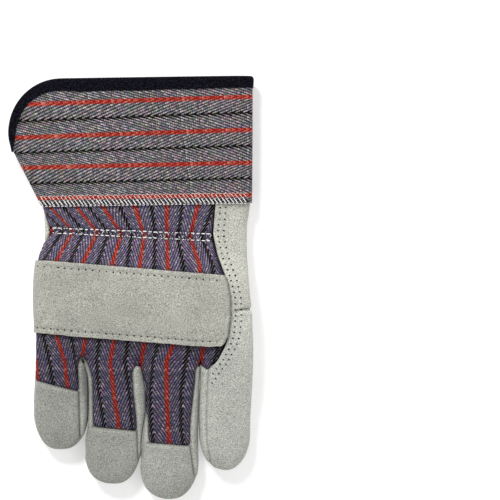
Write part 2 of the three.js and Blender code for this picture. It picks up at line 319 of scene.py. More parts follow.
def loft_table(name, table, square):
    wanted = np.arange(table[-1, 0], table[0, 0], ROW_STEP)
    rows = smooth_rows(table, wanted)
    return loft(name, [oval(along, *row, square) for along, row in zip(wanted, rows)])


def finger_loft(name, root_left, root_right, tip_left, tip_right, start, end, blunt, turned):
    middle, half_width = (tip_left + tip_right) / 2, (tip_right - tip_left) / 2
    level, half_height = sum(FINGER_END) / 2, (FINGER_END[1] - FINGER_END[0]) / 2
    table = np.array([
        (FINGER_ROOT[0], root_left + 0.6, root_right - 0.6, *FINGER_ROOT[1:]),
        (FINGER_WEB[0], root_left, root_right, *FINGER_WEB[1:]),
        (start, tip_left, tip_right, *FINGER_END),
        (start - ROW_STEP, tip_left, tip_right, *FINGER_END),
    ])
    wanted = np.arange(table[0, 0], start, -ROW_STEP)
    rings = [oval(y, *row, SQUARE["finger"]) for y, row in zip(wanted, smooth_rows(table, wanted))]
    for turn in np.linspace(0, 0.49 * math.pi, 26):
        width = half_width * math.cos(turn) ** blunt
        height = half_height * math.cos(turn) ** 0.84
        along = start + (end - start) * math.sin(turn)
        centre = middle + turned * smoothstep(0, 0.75, math.sin(turn))
        sizes = (centre - width, centre + width, level - height, level + height)
        rings.append(oval(along, *sizes, SQUARE["finger"]))
    return loft(name, rings)


hand = loft_table("hand", HAND, SQUARE["hand"])
thumb_form = loft_table("thumb_form", THUMB, SQUARE["thumb"])
fingers = [finger_loft(name, *sizes) for name, sizes in FINGERS.items()]
print("lofted a hand, a thumb and", len(fingers), "fingers")

# %% [markdown]
# ## One skin
# The lofts overlap at the webs between the fingers and at the heel of the hand. A voxel remesh
# melts them into one closed skin, as a soft glove has no sharp creases there, and a smooth
# modifier relaxes the webs. Boolean unions would have left hard lines instead.

# %% One skin
VOXEL = 0.75
SEAM_ALONG = 56

skin = copy_of(hand, "skin")
lobes = [copy_of(obj, "lobe") for obj in [thumb_form, *fingers]]
select_only(skin, *lobes)
bpy.ops.object.join()
apply_modifier(skin, "REMESH", mode="VOXEL", voxel_size=VOXEL * MM)
apply_modifier(skin, "SMOOTH", factor=0.5, iterations=10)


def gap_centre(y, gap):
    """How far across the hand the middle of a gap lies, at a place along the fingers."""
    return np.interp(y, *np.array(sorted(gap.items())).T)


def close_gaps(points):
    """Moves the fingers' sides together until only a narrow gap is left between neighbours."""
    x, y = points[:, 0].copy(), points[:, 1]
    names = list(FINGERS)
    moved = points.copy()
    for gap, (left_name, right_name) in zip(GAPS, zip(names, names[1:])):
        left, right = FINGERS[left_name], FINGERS[right_name]
        slack = WEB_SLACK * bump(y, -50, 5)
        from_left = np.interp(y, [left[4], FINGER_WEB[0]], [left[3], left[1]]) - slack
        from_right = np.interp(y, [right[4], FINGER_WEB[0]], [right[2], right[0]]) + slack
        centre = gap_centre(y, gap)
        shift_left = centre - GAP_WIDTH / 2 - from_left
        shift_right = centre + GAP_WIDTH / 2 - from_right
        share = np.clip((x - from_left) / (from_right - from_left), 0, 1)
        shift = shift_left * (1 - share) + shift_right * share
        outside = np.maximum(from_left - x, x - from_right)
        moved[:, 0] += shift * (1 - smoothstep(0, GAP_REACH, outside)) * (1 - smoothstep(-50, -38, y))
    return moved


def gap_shade(points):
    """How dark it gets towards the bottom of the narrow gaps between the fingers."""
    x, y = points[:, 0], points[:, 1]
    shade = np.ones(len(points))
    for gap, end in zip(GAPS, GAP_ENDS):
        share = smoothstep(end - 2, end + 8, y) * (1 - smoothstep(-54, -46, y))
        shade *= 1 - 0.7 * bump(x - gap_centre(y, gap), 0, 0.9) * share
    hollow = smoothstep(-80, -52, y) * (1 - smoothstep(-45, -42, y)) * bump(x, -30.6, 2.6)
    return shade * (1 - 0.5 * hollow)


place_points(skin, close_gaps(points_of(skin)))
print("skin has", len(skin.data.polygons), "faces")

# %% [markdown]
# ## Cutting the panels
# A glover cuts flat pieces and sews them edge to edge. Here the sewn skin comes first, and the
# panels are cut out of it. A Boolean keeps the skin inside an outline that is drawn from above.
# The walls that the cutter leaves carry the second material, so they can be found and removed.

# %% Outlines of the panels, seen from above
SIDE_SEAM = [
    (70, 9), (37, 9.2), (28, 10.5), (17, 13.8), (5, 17.3), (-7, 19.3), (-30, 19.3), (-44, 17.8),
    (-79, 11.6), (-110, 9.8), (-150, 9.8),
]
BACK_CLOTH = [
    (53.9, 58.4), (-75, 58.4), (-75, 51), (-57, 49.5), (-55, 43.7), (-53.2, 38.6), (-53, 36), (-54.4, 32.2),
    (-57.5, 29), (-75, 27), (-75, -55.4), (-33.4, -66), (-33.8, -50), (-32.6, -44.5), (-30.4, -44),
    (-27.5, -50.5), (-25.7, -58), (-25.3, -88.3), (3.7, -91.2), (2.9, -79.8), (1.3, -66), (0.7, -52.5),
    (3.4, -48.6), (5.4, -49.4), (6.3, -52), (7.7, -58), (9.05, -64), (9.15, -76), (9.5, -81),
    (10.4, -98.6), (37.5, -100.6), (37.8, -84), (39.4, -70), (40.8, -59), (41.2, -51), (43.4, -49),
    (44.8, -49.2), (47.9, -52.3), (54.6, -46.6), (59.5, -37.6), (62.2, -29.9), (63.5, -17.8),
    (63.2, -5), (60.3, 7.2), (55.2, 20.6), (52, 34.7),
]
TIP_CAPS = {
    "small_fingertip": [(-75, -55.4), (-75, -110), (-31.4, -110), (-33, -95), (-33.4, -66)],
    "ring_fingertip": [
        (-28.6, -88.1), (-30, -97), (-32.5, -106), (-33, -130), (5.2, -130), (4.3, -113.8),
        (3.7, -91.2), (-25.3, -88.3),
    ],
    "middle_fingertip": [
        (6.2, -98.4), (5.5, -113), (5.2, -125), (5.2, -140), (43, -140), (40.4, -122),
        (37.5, -100.6), (10.4, -98.6),
    ],
}
HEEL = [
    (-75, 60), (-19.5, 60), (-19, 54), (42, 23.4), (42, 12), (-45, 12), (-56, 4), (-58, -1), (-75, -1),
]
SIDE_LEATHER = [(-18.6, 60), (-18.6, 53), (40, -13.3), (63, -14.6), (70, -13.4), (90, -12.4), (90, 60)]
MIDDLE_RING_FRONT = [(43.8, -34), (40, -30.6), (17.7, -31.6), (-3, -32.8), (-15, -30.6), (-22, -34)]
MIDDLE_RING_FRONT += [(x, y) for y, x in GAPS[0].items() if y > -100]
MIDDLE_RING_FRONT += [(-32.5, -106), (-34, -145), (46, -145), (45.5, -116)]
MIDDLE_RING_FRONT += [(x, y) for y, x in reversed(GAPS[2].items())]
FAR = 200
THUMB_ROOM = 1.2
WELD = 0.12

marks_of_faces = [bpy.data.materials.new(name) for name in ("panel", "cut")]


def mark(obj, index):
    """Gives all faces the first material, for a panel, or the second, for a cutter."""
    obj.data.materials.clear()
    for material in marks_of_faces:
        obj.data.materials.append(material)
    obj.data.polygons.foreach_set("material_index", [index] * len(obj.data.polygons))


def softened(outline, reach):
    """The outline with its corners rounded off, each from reach before it to reach after it."""
    outline = np.asarray(outline, float)
    share = np.linspace(0, 1, 5)[:, None]
    pieces = []
    for i, corner in enumerate(outline):
        back = outline[i - 1] - corner
        onward = outline[(i + 1) % len(outline)] - corner
        start = corner + back * min(reach / np.linalg.norm(back), 0.45)
        end = corner + onward * min(reach / np.linalg.norm(onward), 0.45)
        pieces.append(start * (1 - share) ** 2 + corner * 2 * share * (1 - share) + end * share ** 2)
    return np.vstack(pieces)


def prism(name, outline, low, high, across=False):
    """A closed block over an outline: of (x, y) and upright, or of (y, z) and across the hand."""
    outline = np.asarray(outline, float)
    after = np.roll(outline, -1, axis=0)
    if (outline[:, 0] * after[:, 1] - outline[:, 1] * after[:, 0]).sum() < 0:
        outline = outline[::-1]
    count = len(outline)
    levels = [np.full((count, 1), float(level)) for level in (low, high)]
    points = np.vstack([np.hstack([level, outline] if across else [outline, level]) for level in levels])
    walls, ends = tube_faces(2, count)
    obj = mesh_from(name, points, ends + walls)
    mark(obj, 1)
    return obj


def cut_with(obj, cutter, operation):
    apply_modifier(obj, "BOOLEAN", object=cutter, operation=operation, solver="MANIFOLD")


def strip_walls(panel):
    """Removes the faces that the cutters left, so that only skin remains."""
    index = read_all(panel.data.polygons, "material_index", kind=np.int32)
    select_only(panel)
    bpy.ops.object.mode_set(mode="EDIT")
    bpy.ops.mesh.select_mode(type="FACE")
    bpy.ops.mesh.select_all(action="DESELECT")
    bpy.ops.object.mode_set(mode="OBJECT")
    panel.data.polygons.foreach_set("select", index == 1)
    bpy.ops.object.mode_set(mode="EDIT")
    bpy.ops.mesh.delete(type="FACE")
    bpy.ops.mesh.select_mode(type="VERT")
    bpy.ops.mesh.select_all(action="SELECT")
    bpy.ops.mesh.remove_doubles(threshold=WELD * MM)
    bpy.ops.mesh.delete_loose()
    bpy.ops.object.mode_set(mode="OBJECT")
    panel.data.materials.clear()
    keep_largest_part(panel)


def keep_largest_part(obj):
    """Drops the crumbs that a cut can leave beside the piece itself."""
    select_only(obj)
    bpy.ops.mesh.separate(type="LOOSE")
    parts = sorted(bpy.context.selected_objects, key=lambda part: len(part.data.vertices))
    if parts[-1] is not obj:
        obj.data = parts[-1].data
    throw_away(*[part for part in parts if part is not obj])


def carve(name, outline, zone=None, operation="INTERSECT", reach=2.5):
    """Cuts one panel out of what is left of the skin."""
    cutter = prism("cutter", softened(outline, reach), -FAR, FAR)
    if zone:
        cut_with(cutter, zone, operation)
    panel = copy_of(rest, name)
    cut_with(panel, cutter, "INTERSECT")
    cut_with(rest, cutter, "DIFFERENCE")
    throw_away(cutter)
    return panel


print("outlines for", 4 + len(TIP_CAPS), "panels")

# %% [markdown]
# ## Cutting
# The cloth and the fingertip caps are cut from the upper side of the skin only. The thumb's lobe
# needs room round the folded thumb, so its own cutter is the thumb's loft, a little enlarged. What
# is left of the skin in the end is the palm with the index finger.

# %% Cutting the panels
mark(skin, 0)
rest = copy_of(skin, "palm_leather")
hand_outline = [(-FAR, -FAR), (FAR, -FAR), (FAR, SEAM_ALONG), (-FAR, SEAM_ALONG)]
hand_side = prism("hand_side", hand_outline, -FAR, FAR)
cut_with(rest, hand_side, "INTERSECT")
above = prism("above", [*SIDE_SEAM, (-150, 90), (70, 90)], -FAR, FAR, across=True)

hand_back = carve("back_cloth", BACK_CLOTH, above)
tips = {name: carve(name + "_cap", outline, above, reach=1.2) for name, outline in TIP_CAPS.items()}

thumb_room = THUMB.copy()
thumb_room[:, [1, 3]] -= THUMB_ROOM
thumb_room[:, [2, 4]] += THUMB_ROOM
thumb_room[0, 0] += THUMB_ROOM
thumb_room[-1, 0] -= THUMB_ROOM
lobe_room = loft_table("lobe_room", thumb_room, SQUARE["thumb"])
mark(lobe_room, 1)
heel_room = prism("heel_room", softened(HEEL, 2.5), -FAR, FAR)
cut_with(heel_room, lobe_room, "UNION")
thumb = copy_of(rest, "thumb_leather")
cut_with(thumb, heel_room, "INTERSECT")
cut_with(rest, heel_room, "DIFFERENCE")

side_leather = carve("side_leather_piece", SIDE_LEATHER)
middle_ring = carve("finger_fronts", MIDDLE_RING_FRONT)
palm = rest
panels = [hand_back, thumb, side_leather, middle_ring, palm, *tips.values()]
for panel in panels:
    strip_walls(panel)
    print(panel.name, len(panel.data.polygons), "faces")
throw_away(hand, thumb_form, *fingers, hand_side, lobe_room, heel_room)

# %% [markdown]
# ## Where the seams run
# A sewn seam pulls the leather down into a narrow valley, and the leather swells beside it. Every
# open border of a panel is such a seam, so the borders' points go into a search tree that answers
# how far any point is from the nearest seam. A few seams inside a panel are added as lines.

# %% Seam lines
LAP_REACH = 7
INDEX_SEAM = [(49, -52), (47.8, -66), (47.4, -82), (47.7, -98), (50.3, -113), (53.5, -118)]


def tree_of(points):
    tree = KDTree(len(points))
    for i, point in enumerate(points):
        tree.insert(point, i)
    tree.balance()
    return tree


def distance_to(tree, points):
    return np.array([tree.find(point)[2] for point in points])


def border_of(panel):
    """The points along a panel's open edges, in millimetres."""
    edges = read_all(panel.data.edges, "vertices", 2, np.int32)
    used = read_all(panel.data.loops, "edge_index", kind=np.int32)
    is_open = np.bincount(used, minlength=len(edges)) == 1
    return points_of(panel)[np.unique(edges[is_open])]


skin_points = points_of(skin)
skin_tree = tree_of(skin_points)
skin_normals = read_all(skin.data.vertices, "normal", 3)
skin_surface = BVHTree.FromObject(skin, bpy.context.evaluated_depsgraph_get())


def normals_at(points):
    """The skin's smooth outward direction near each point."""
    near = np.array([[found[1] for found in skin_tree.find_n(point, 4)] for point in points])
    return unit(skin_normals[near].mean(axis=1))


def drop_to_skin(line, step=0.6):
    """Points on top of the skin along a line that is drawn from above."""
    line = np.asarray(line, float)
    length = run_along(line)
    wanted = np.arange(0, length[-1], step)
    x, y = np.interp(wanted, length, line[:, 0]), np.interp(wanted, length, line[:, 1])
    points = []
    for a, b in zip(x, y):
        hit = skin_surface.ray_cast(Vector((a, b, 60)) * MM, Vector((0, 0, -1)))[0]
        if hit is not None:
            points.append(np.array(hit) / MM)
    return np.array(points)


borders = np.vstack([border_of(panel) for panel in panels])
borders = borders[borders[:, 1] < SEAM_ALONG - 3]
for low, high in (((-31, -91), (-26.2, -86)), ((5, -101), (9.6, -96))):
    quiet = np.all((borders[:, :2] > low) & (borders[:, :2] < high), axis=1)
    borders = borders[~quiet]
for gap in GAPS:
    across = borders[:, 0] - gap_centre(borders[:, 1], gap)
    borders = borders[(np.abs(across) > 1.2) | (borders[:, 1] > -54)]
back_border = border_of(hand_back)
across, along = back_border[:, 0], back_border[:, 1]
lap_line = back_border[(across > 43) & (along > -49) & (along < SEAM_ALONG - 1)]
seams = np.vstack([borders, drop_to_skin(INDEX_SEAM)])
seam_tree = tree_of(seams)
lap_tree = tree_of(lap_line)
print(len(seams), "seam points")

# %% [markdown]
# ## The striped cloth's own pattern
# The stripes are woven into the cloth, so they follow it where the elastic gathers it. The table
# gives, at a few places along the hand, where each stripe crosses: red ones at whole numbers and
# black ones halfway. Between them the pattern is spread evenly, and it is kept in a UV map in
# millimetres of cloth, so that the weave's material only has to read it.

# %% Stripes of the back
ELASTIC_ROWS = [((-54, 38.6), (51.2, 34.7)), ((-54, 35.6), (51.2, 30.2))]
KINK_ROW = 35.4
STRIPE_REPEAT = 20
STRIPES = {
    52: (-64, -58.5, -52.9, -44, -35.4, -28, -18.6, -7.4, 2, 12.8, 22.4, 32, 41.9, 51.2, 60.8),
    35.4: (-50.6, -44.2, -37.8, -30.9, -21.9, -15, -6.5, -0.1, 7.9, 14.7, 22.7, 29.1, 37.1, 44.5, 52.5),
    14.9: (-67.8, -58.2, -49.5, -39.9, -31.5, -21.9, -12.3, -2.8, 5.4, 14.7, 23, 32.8, 43.5, 51.4, 60.8),
    -30.6: (-64.6, -55.7, -47.4, -37.8, -28.8, -20.5, -10.2, -1.9, 9.6, 17.9, 28.8, 37.8, 47.4, 57, 66.6),
    -45.9: (-60.8, -52.2, -42.2, -35.8, -32, -21.8, -13.4, -4.2, 6.4, 13.8, 22.1, 34.9, 44.2, 52.5, 61.4),
    -65.1: (-59.5, -49.3, -40.3, -32.6, -28.2, -21.1, -11.5, -1.6, 5.8, 11.5, 22.7, 31.4, 41.6, 49.9, 57.6),
    -88.8: (-57.6, -47.4, -38.4, -30.7, -25.6, -17.6, -8, 0.3, 5.8, 12.2, 23.4, 31.4, 40.3, 48.6, 56.3),
    -100.3: (-56.3, -46, -37.4, -30.4, -25, -17.3, -7.7, 0.6, 6.4, 13.4, 24.3, 32.6, 41, 49.3, 57),
}


def elastic_middle(x):
    """Where the middle between both elastic rows lies, at a place across the hand."""
    rows = np.array(ELASTIC_ROWS)
    left, right = rows[:, 0].mean(axis=0), rows[:, 1].mean(axis=0)
    return left[1] + (right[1] - left[1]) * (x - left[0]) / (right[0] - left[0])


def back_phase(points):
    """How many red stripes lie to the left of each point of the back."""
    rows = np.array([[y, *marks] for y, marks in sorted(STRIPES.items())])
    askew = elastic_middle(points[:, 0]) - KINK_ROW
    along = points[:, 1] - askew * np.exp(-(((points[:, 1] - KINK_ROW) / 12) ** 2))
    along = np.clip(along, rows[0, 0], rows[-1, 0])
    marks = np.column_stack([np.interp(along, rows[:, 0], column) for column in rows[:, 1:].T])
    phases = np.arange(marks.shape[1]) / 2
    result = np.empty(len(points))
    for i, (x, row) in enumerate(zip(points[:, 0], marks)):
        result[i] = np.interp(x, row, phases)
        if x < row[0]:
            result[i] = (x - row[0]) / STRIPE_REPEAT
        elif x > row[-1]:
            result[i] = phases[-1] + (x - row[-1]) / STRIPE_REPEAT
    return result


def write_cloth_map(obj, across, along, closing=0):
    """Stores the cloth's own coordinates in millimetres as a UV map called cloth."""
    corner = read_all(obj.data.loops, "vertex_index", kind=np.int32)
    places = np.column_stack([across[corner], along[corner]])
    if closing:
        quads = places.reshape(-1, 4, 2)
        wraps = quads[:, :, 0].max(axis=1) - quads[:, :, 0].min(axis=1) > closing / 2
        quads[wraps, :, 0] -= np.where(quads[wraps, :, 0] > -closing / 2, closing, 0)
    obj.data.uv_layers.new(name="cloth").data.foreach_set("uv", places.ravel())


back_points = points_of(hand_back)
back_stripes = back_phase(back_points)
write_cloth_map(hand_back, -back_points[:, 1], back_stripes * STRIPE_REPEAT)
print("back carries stripes", round(back_stripes.min(), 1), "to", round(back_stripes.max(), 1))

# %% [markdown]
# ## Leather and cloth under tension
# Each panel is moved in or out along the skin's own direction by a height in millimetres: down at
# a seam, up beside it, and a little everywhere, as leather is never flat. The side leather and the
# index finger lie over the cloth's edge and end in a raised lap. Two elastic rows pull the back
# cloth in at the wrist, and it stands in folds that die away on both sides.

# %% Heights
WALL = 1.7
STRAP = {"left": -75, "top": 18.3, "bottom": -26.4, "slope": -0.08}
STRAP_THICKNESS = 1.7
STRAP_LIFT = 0.75
STITCH_INSET = 2.8


def strap_edge(x, left):
    return left + STRAP["slope"] * (x - STRAP["left"])


def arc(x, y, radius, start, end, steps):
    turn = np.radians(np.linspace(start, end, steps + 1))
    return np.column_stack([x + radius * np.cos(turn), y + radius * np.sin(turn)])


strap_side = [(61.6, -30.4), (63.0, -17.8), (62.7, -5), (60.9, 3.6)]
strap_outline = np.vstack([
    [(STRAP["left"], strap_edge(STRAP["left"], STRAP["bottom"]))],
    [(40, strap_edge(40, STRAP["bottom"]) + 0.2)],
    arc(55.6, -31.6, 4.6, -86, -10, 6),
    strap_side,
    [(59.6, strap_edge(59.6, STRAP["top"]))],
    [(STRAP["left"], strap_edge(STRAP["left"], STRAP["top"]))],
])
strap_line = np.vstack([
    np.column_stack([np.linspace(a[0], b[0], 60), np.linspace(a[1], b[1], 60), np.zeros(60)])
    for a, b in zip(strap_outline[:-1], strap_outline[1:])
])


def leather_height(points, seam):
    valley = -1.0 * bump(seam, 0, 0.95) + 0.42 * bump(seam, 3.2, 2.4)
    puckers = 0.2 * soft_noise(points, 5, 1) * np.exp(-seam / 4)
    soft = 0.45 * soft_noise(points, 26, 2) + 0.16 * soft_noise(points, 8, 3)
    return valley + puckers + soft * smoothstep(0, 5, seam)


def write_tone(obj, tone):
    """Stores how light or dark each point of a piece is, as a share of its material's colour: mostly
    painted shade and painted light, with a few real differences of the leather.
    """
    layer = obj.data.attributes.new("tone", "FLOAT", "POINT")
    layer.data.foreach_set("value", np.clip(tone, 0, 2))


def lap_height(points, height, lap):
    """Replaces the valley by a raised edge where a panel lies over the back cloth's border."""
    share = 1 - smoothstep(3, LAP_REACH, lap)
    raised = 0.75 * (1 - smoothstep(0, LAP_REACH, lap)) + 0.12 * soft_noise(points, 9, 4)
    return height * (1 - share) + raised * share


def gather_height(points, stripes):
    left, right = np.array(ELASTIC_ROWS)[:, 0], np.array(ELASTIC_ROWS)[:, 1]
    share = (points[:, [0]] - left[:, 0]) / (right[:, 0] - left[:, 0])
    rows = left[:, 1] + (right[:, 1] - left[:, 1]) * share
    away = points[:, [1]] - rows
    middle = np.abs(points[:, 1] - rows.mean(axis=1))
    wander = 0.35 * soft_noise(points, 14, 5)
    broad = np.abs(np.sin(math.pi * (2 * stripes + wander))) ** 0.8 - 0.55
    fine = np.sin(2 * math.pi * (4.3 * stripes + 2 * wander))
    folds = 1.9 * broad * bump(middle, 0, 13) + 0.55 * fine * bump(middle, 0, 6)
    pulled = -0.9 * bump(away, 0, 1.1).max(axis=1)
    return folds + pulled


def shape_panel(panel, height):
    points = points_of(panel)
    points = points + normals_at(points) * height[:, None]
    points[:, 2] = np.maximum(points[:, 2], 0)
    place_points(panel, points)


def give_thickness(obj, thickness, outward=False):
    apply_modifier(obj, "SOLIDIFY", thickness=thickness * MM, offset=1 if outward else -1, use_rim=True)


INDEX_TONE = 1.15
# the fingertip caps are darker: darker leather, and painted shade where their ends slope away from the
# light
TIP_TONES = {"small_fingertip": 0.81, "ring_fingertip": 0.79, "middle_fingertip": 0.86}
index_line = tree_of(drop_to_skin(INDEX_SEAM))
seam = distance_to(seam_tree, back_points)
lap = distance_to(lap_tree, back_points)
cloth_height = leather_height(back_points, seam)
cloth_height = cloth_height * smoothstep(2, 5, lap) - 0.6 * (1 - smoothstep(1, 4, lap))
gathers = gather_height(back_points, back_stripes)
strap_gap = distance_to(tree_of(strap_line), back_points * (1, 1, 0))
# painted light and shade: lighter on the folds' ridges, darker in their valleys and towards the fingers
painted_cloth_shading = (1 + 0.16 * gathers) * (0.94 - 0.2 * (1 - smoothstep(-42, -18, back_points[:, 1])))
# painted shade in each seam's valley
painted_cloth_shading *= 1 - 0.55 * bump(seam, 0, 0.6)
# painted shadow beside the lapped leather's edge and under the strap's edge
painted_cloth_shading *= (1 - 0.88 * (1 - smoothstep(0.8, 2.6, lap))) * (1 - 0.85 * bump(strap_gap, 0, 1.7))
# painted shade in the fine puckers beside the elastic
fine_folds = 0.5 + 0.5 * np.sin(2 * math.pi * 6.1 * back_stripes)
from_elastic = back_points[:, 1] - elastic_middle(back_points[:, 0])
painted_cloth_shading *= 1 - 0.7 * fine_folds * bump(from_elastic, 0, 2.6)
write_tone(hand_back, painted_cloth_shading * gap_shade(back_points))
shape_panel(hand_back, cloth_height + gathers)
for panel in [thumb, side_leather, middle_ring, palm, *tips.values()]:
    points = points_of(panel)
    seam = distance_to(seam_tree, points)
    height = leather_height(points, seam)
    # painted shade in each seam's valley, weaker along the index finger's seam and gone where the leather
    # laps over the cloth
    painted_seam_shade = bump(seam, 0, 0.55)
    if panel is palm:
        painted_seam_shade *= 1 - 0.45 * bump(distance_to(index_line, points), 0, 2)
    if panel in (side_leather, palm):
        lap = distance_to(lap_tree, points)
        height = lap_height(points, height, lap)
        painted_seam_shade *= smoothstep(1, 3, lap)
    tone = 1 - 0.68 * painted_seam_shade + 0.07 * bump(seam, 1.7, 0.8)
    if panel is palm:
        tone *= 1 + (INDEX_TONE - 1) * smoothstep(38, 48, points[:, 0])
        # painted light on the index finger's outer side, as if lit from the right
        tone *= 1 + 0.22 * smoothstep(60, 72, points[:, 0]) * smoothstep(-75, -40, points[:, 1])
    for name, cap in tips.items():
        if cap is panel:
            # the cap's darker leather and painted shade
            tone *= TIP_TONES[name]
    write_tone(panel, tone * gap_shade(points))
    shape_panel(panel, height)
for panel in panels:
    give_thickness(panel, WALL)
    smooth_shading(panel, 55)
print("shaped", len(panels), "panels")

# %% [markdown]
# ## The knuckle strap
# A band of the same split leather is sewn over the cloth across the knuckles, and shields them.
# It is cut out of a fresh copy of the skin, so it follows the hand closely, and then thickened
# outwards. A row of stitches near each long edge presses it down, and its raw edge curls up a little.

# %% The knuckle strap
strap = copy_of(skin, "knuckle_strap_leather")
strap_room = prism("strap_room", softened(strap_outline, 1), -FAR, FAR)
cut_with(strap_room, above, "INTERSECT")
cut_with(strap, strap_room, "INTERSECT")
strip_walls(strap)
throw_away(strap_room, above)

strap_points = points_of(strap)
strap_rim = tree_of(border_of(strap))
rim = distance_to(strap_rim, strap_points)
side = strap_points[:, 2] < 22
rows = np.where(side, 0, bump(rim, STITCH_INSET, 0.8))
strap_height = (
    STRAP_LIFT * smoothstep(-63, -50, strap_points[:, 0]) - 0.4 * rows
    + 0.25 * bump(rim, 0.6, 0.9) + 0.35 * bump(rim, 8, 6)
    + 0.4 * soft_noise(strap_points, 30, 6) + 0.14 * soft_noise(strap_points, 9, 7)
)
right_end = smoothstep(57, 60, strap_points[:, 0])
# lighter raw cut edge, and a little painted shade in the stitched grooves
strap_rim_and_shade = 1 + 0.12 * bump(rim, 0, 0.9) * (1 - right_end) - 0.06 * rows
# painted shade where the strap's right end goes under the side leather
strap_rim_and_shade -= 0.6 * bump(rim, 0, 0.7) * right_end
# darker overall, with painted shade growing towards the strap's left end
strap_rim_and_shade *= 0.85 + 0.07 * smoothstep(-60, 50, strap_points[:, 0])
write_tone(strap, strap_rim_and_shade)
shape_panel(strap, strap_height)
give_thickness(strap, STRAP_THICKNESS, outward=True)
smooth_shading(strap, 55)
print(strap.name, len(strap.data.polygons), "faces")

# %% [markdown]
# ## The safety cuff
# The cuff is a wide, stiff tube of the striped cloth, pressed flat, slit at the little finger's
# side and rounded at both corners beside the slit. It is one grid of points: each column runs
# from the wrist seam out to the cuff's edge, wherever that edge lies, so the edge comes out clean
# and the cloth's stripes can be read off the same grid.

# %% The cuff
CUFF = np.array([
    (50, -57.0, 76.8, 2.1, 19.2),
    (54.8, -59.4, 76.8, 2.1, 19.3),
    (70, -67.1, 77.0, 2.1, 19.8),
    (86, -75.3, 77.1, 2.1, 20.0),
    (105, -84.9, 77.2, 2.1, 20.0),
    (140, -102, 77.2, 2.1, 20.0),
])
CORNER = (-44.9, 98.4, 33, 34.2)
CORNER_END = 208
CUFF_SLANT = 1.8
CUFF_WALL = 1.4
CUFF_COLUMNS = 320
CUFF_ROWS = 84
CUFF_MIDDLE = 11
PALM_START = 54.8
ARM_PLACES = np.linspace(60, 140, 1601)
CUFF_STRIPES = {
    -72: (47.5, 57.4, 66.4, 77.0, 86.2, 96.2, 106.4, 117.3, 127.5, 138),
    75.5: (49.5, 59.7, 70.2, 80.2, 91.0, 101.3, 112.2, 122.4, 132.5, 143),
}


def cuff_start(x):
    """The cuff's lower edge on the back of the hand, which runs slightly askew."""
    return 52.5 + 2.2 * (x + 57) / 133


def cuff_limit(x):
    """How far out the cuff reaches at a place across it."""
    across, up, wide, high = CORNER
    straight = up + high + CUFF_SLANT * (x - across) / 120
    round_part = up + high * np.sqrt(np.maximum(1 - ((x - across) / wide) ** 2, 0))
    return np.where(x > across, straight, round_part)


def inside_cuff(x, y):
    across, up, wide, high = CORNER
    below = y < up + high * math.sin(math.radians(CORNER_END))
    in_round = ((x - across) / wide) ** 2 + ((y - up) / high) ** 2 < 1
    in_strip = (y < up) & (x > across - wide * 0.9)
    return (y < cuff_limit(np.maximum(x, across - wide))) & (below | (x > across) | in_round | in_strip)


def cuff_place(turn, along):
    """Points on the cuff's outside: how far round it, as an angle, and how far along the arm."""
    left, right, bottom, top = smooth_rows(CUFF, along).T
    power = 2 / SQUARE["cuff"]
    cosine, sine = np.cos(turn), np.sin(turn)
    x = (left + right) / 2 + (right - left) / 2 * np.sign(cosine) * np.abs(cosine) ** power
    z = (bottom + top) / 2 + (top - bottom) / 2 * np.sign(sine) * np.abs(sine) ** power
    return np.column_stack([x, along, z])


def even_turns(count):
    """Angles that divide the flat tube's girth into equal steps, starting at the slit."""
    fine = np.linspace(-math.pi, math.pi, 20001)
    length = run_along(cuff_place(fine, np.full(len(fine), 80.0)))
    return np.interp(np.arange(count) / count * length[-1], length, fine), length[-1]


def cuff_ends(turns):
    """How far along the arm the cuff ends, at some angles round it."""
    ends = []
    for turn in turns:
        column = cuff_place(np.full(len(ARM_PLACES), turn), ARM_PLACES)
        outside = ~inside_cuff(column[:, 0], column[:, 1])
        ends.append(ARM_PLACES[outside.argmax()])
    return np.array(ends)


turns, girth = even_turns(CUFF_COLUMNS)
ends = cuff_ends(turns)
top_side = smoothstep(-0.1, 0.25, np.sin(turns))
across = cuff_place(turns, np.full(CUFF_COLUMNS, PALM_START))[:, 0]
starts = cuff_start(across) * top_side + PALM_START * (1 - top_side)
share = np.linspace(0, 1, CUFF_ROWS)
along = starts[:, None] + (ends - starts)[:, None] * share
cuff_points = np.vstack([cuff_place(np.full(CUFF_ROWS, turn), row) for turn, row in zip(turns, along)])
cuff_faces = []
for column in range(CUFF_COLUMNS):
    here, there = column * CUFF_ROWS, (column + 1) % CUFF_COLUMNS * CUFF_ROWS
    for row in range(CUFF_ROWS - 1):
        cuff_faces.append((here + row, there + row, there + row + 1, here + row + 1))
cuff = mesh_from("cuff_cloth", cuff_points, cuff_faces)

# The two marks tables are the rows of one wide table of stripes, read at a place across the cuff.
places = np.array(sorted(CUFF_STRIPES))
marks = np.array([CUFF_STRIPES[place] for place in places])
side_share = (cuff_points[:, 0] - places[0]) / (places[1] - places[0])
phases = (np.arange(marks.shape[1]) - 1) / 2
row_marks = marks[0] + (marks[1] - marks[0]) * side_share[:, None]
cuff_phase = np.array([np.interp(y, row, phases) for y, row in zip(cuff_points[:, 1], row_marks)])
round_cuff = -np.repeat(np.arange(CUFF_COLUMNS) / CUFF_COLUMNS * girth, CUFF_ROWS)
write_cloth_map(cuff, round_cuff, cuff_phase * STRIPE_REPEAT, closing=girth)

wave = 0.35 * soft_noise(cuff_points, 34, 8) + 0.15 * soft_noise(cuff_points, 13, 9)
above_middle = cuff_points[:, 2] - CUFF_MIDDLE
cuff_points[:, 2] += wave * np.sign(above_middle) * np.minimum(1, np.abs(above_middle) / 8)
place_points(cuff, cuff_points)
face_outwards(cuff)
give_thickness(cuff, CUFF_WALL)
smooth_shading(cuff, 55)
print("cuff", len(cuff.data.polygons), "faces, girth", round(girth), "mm")

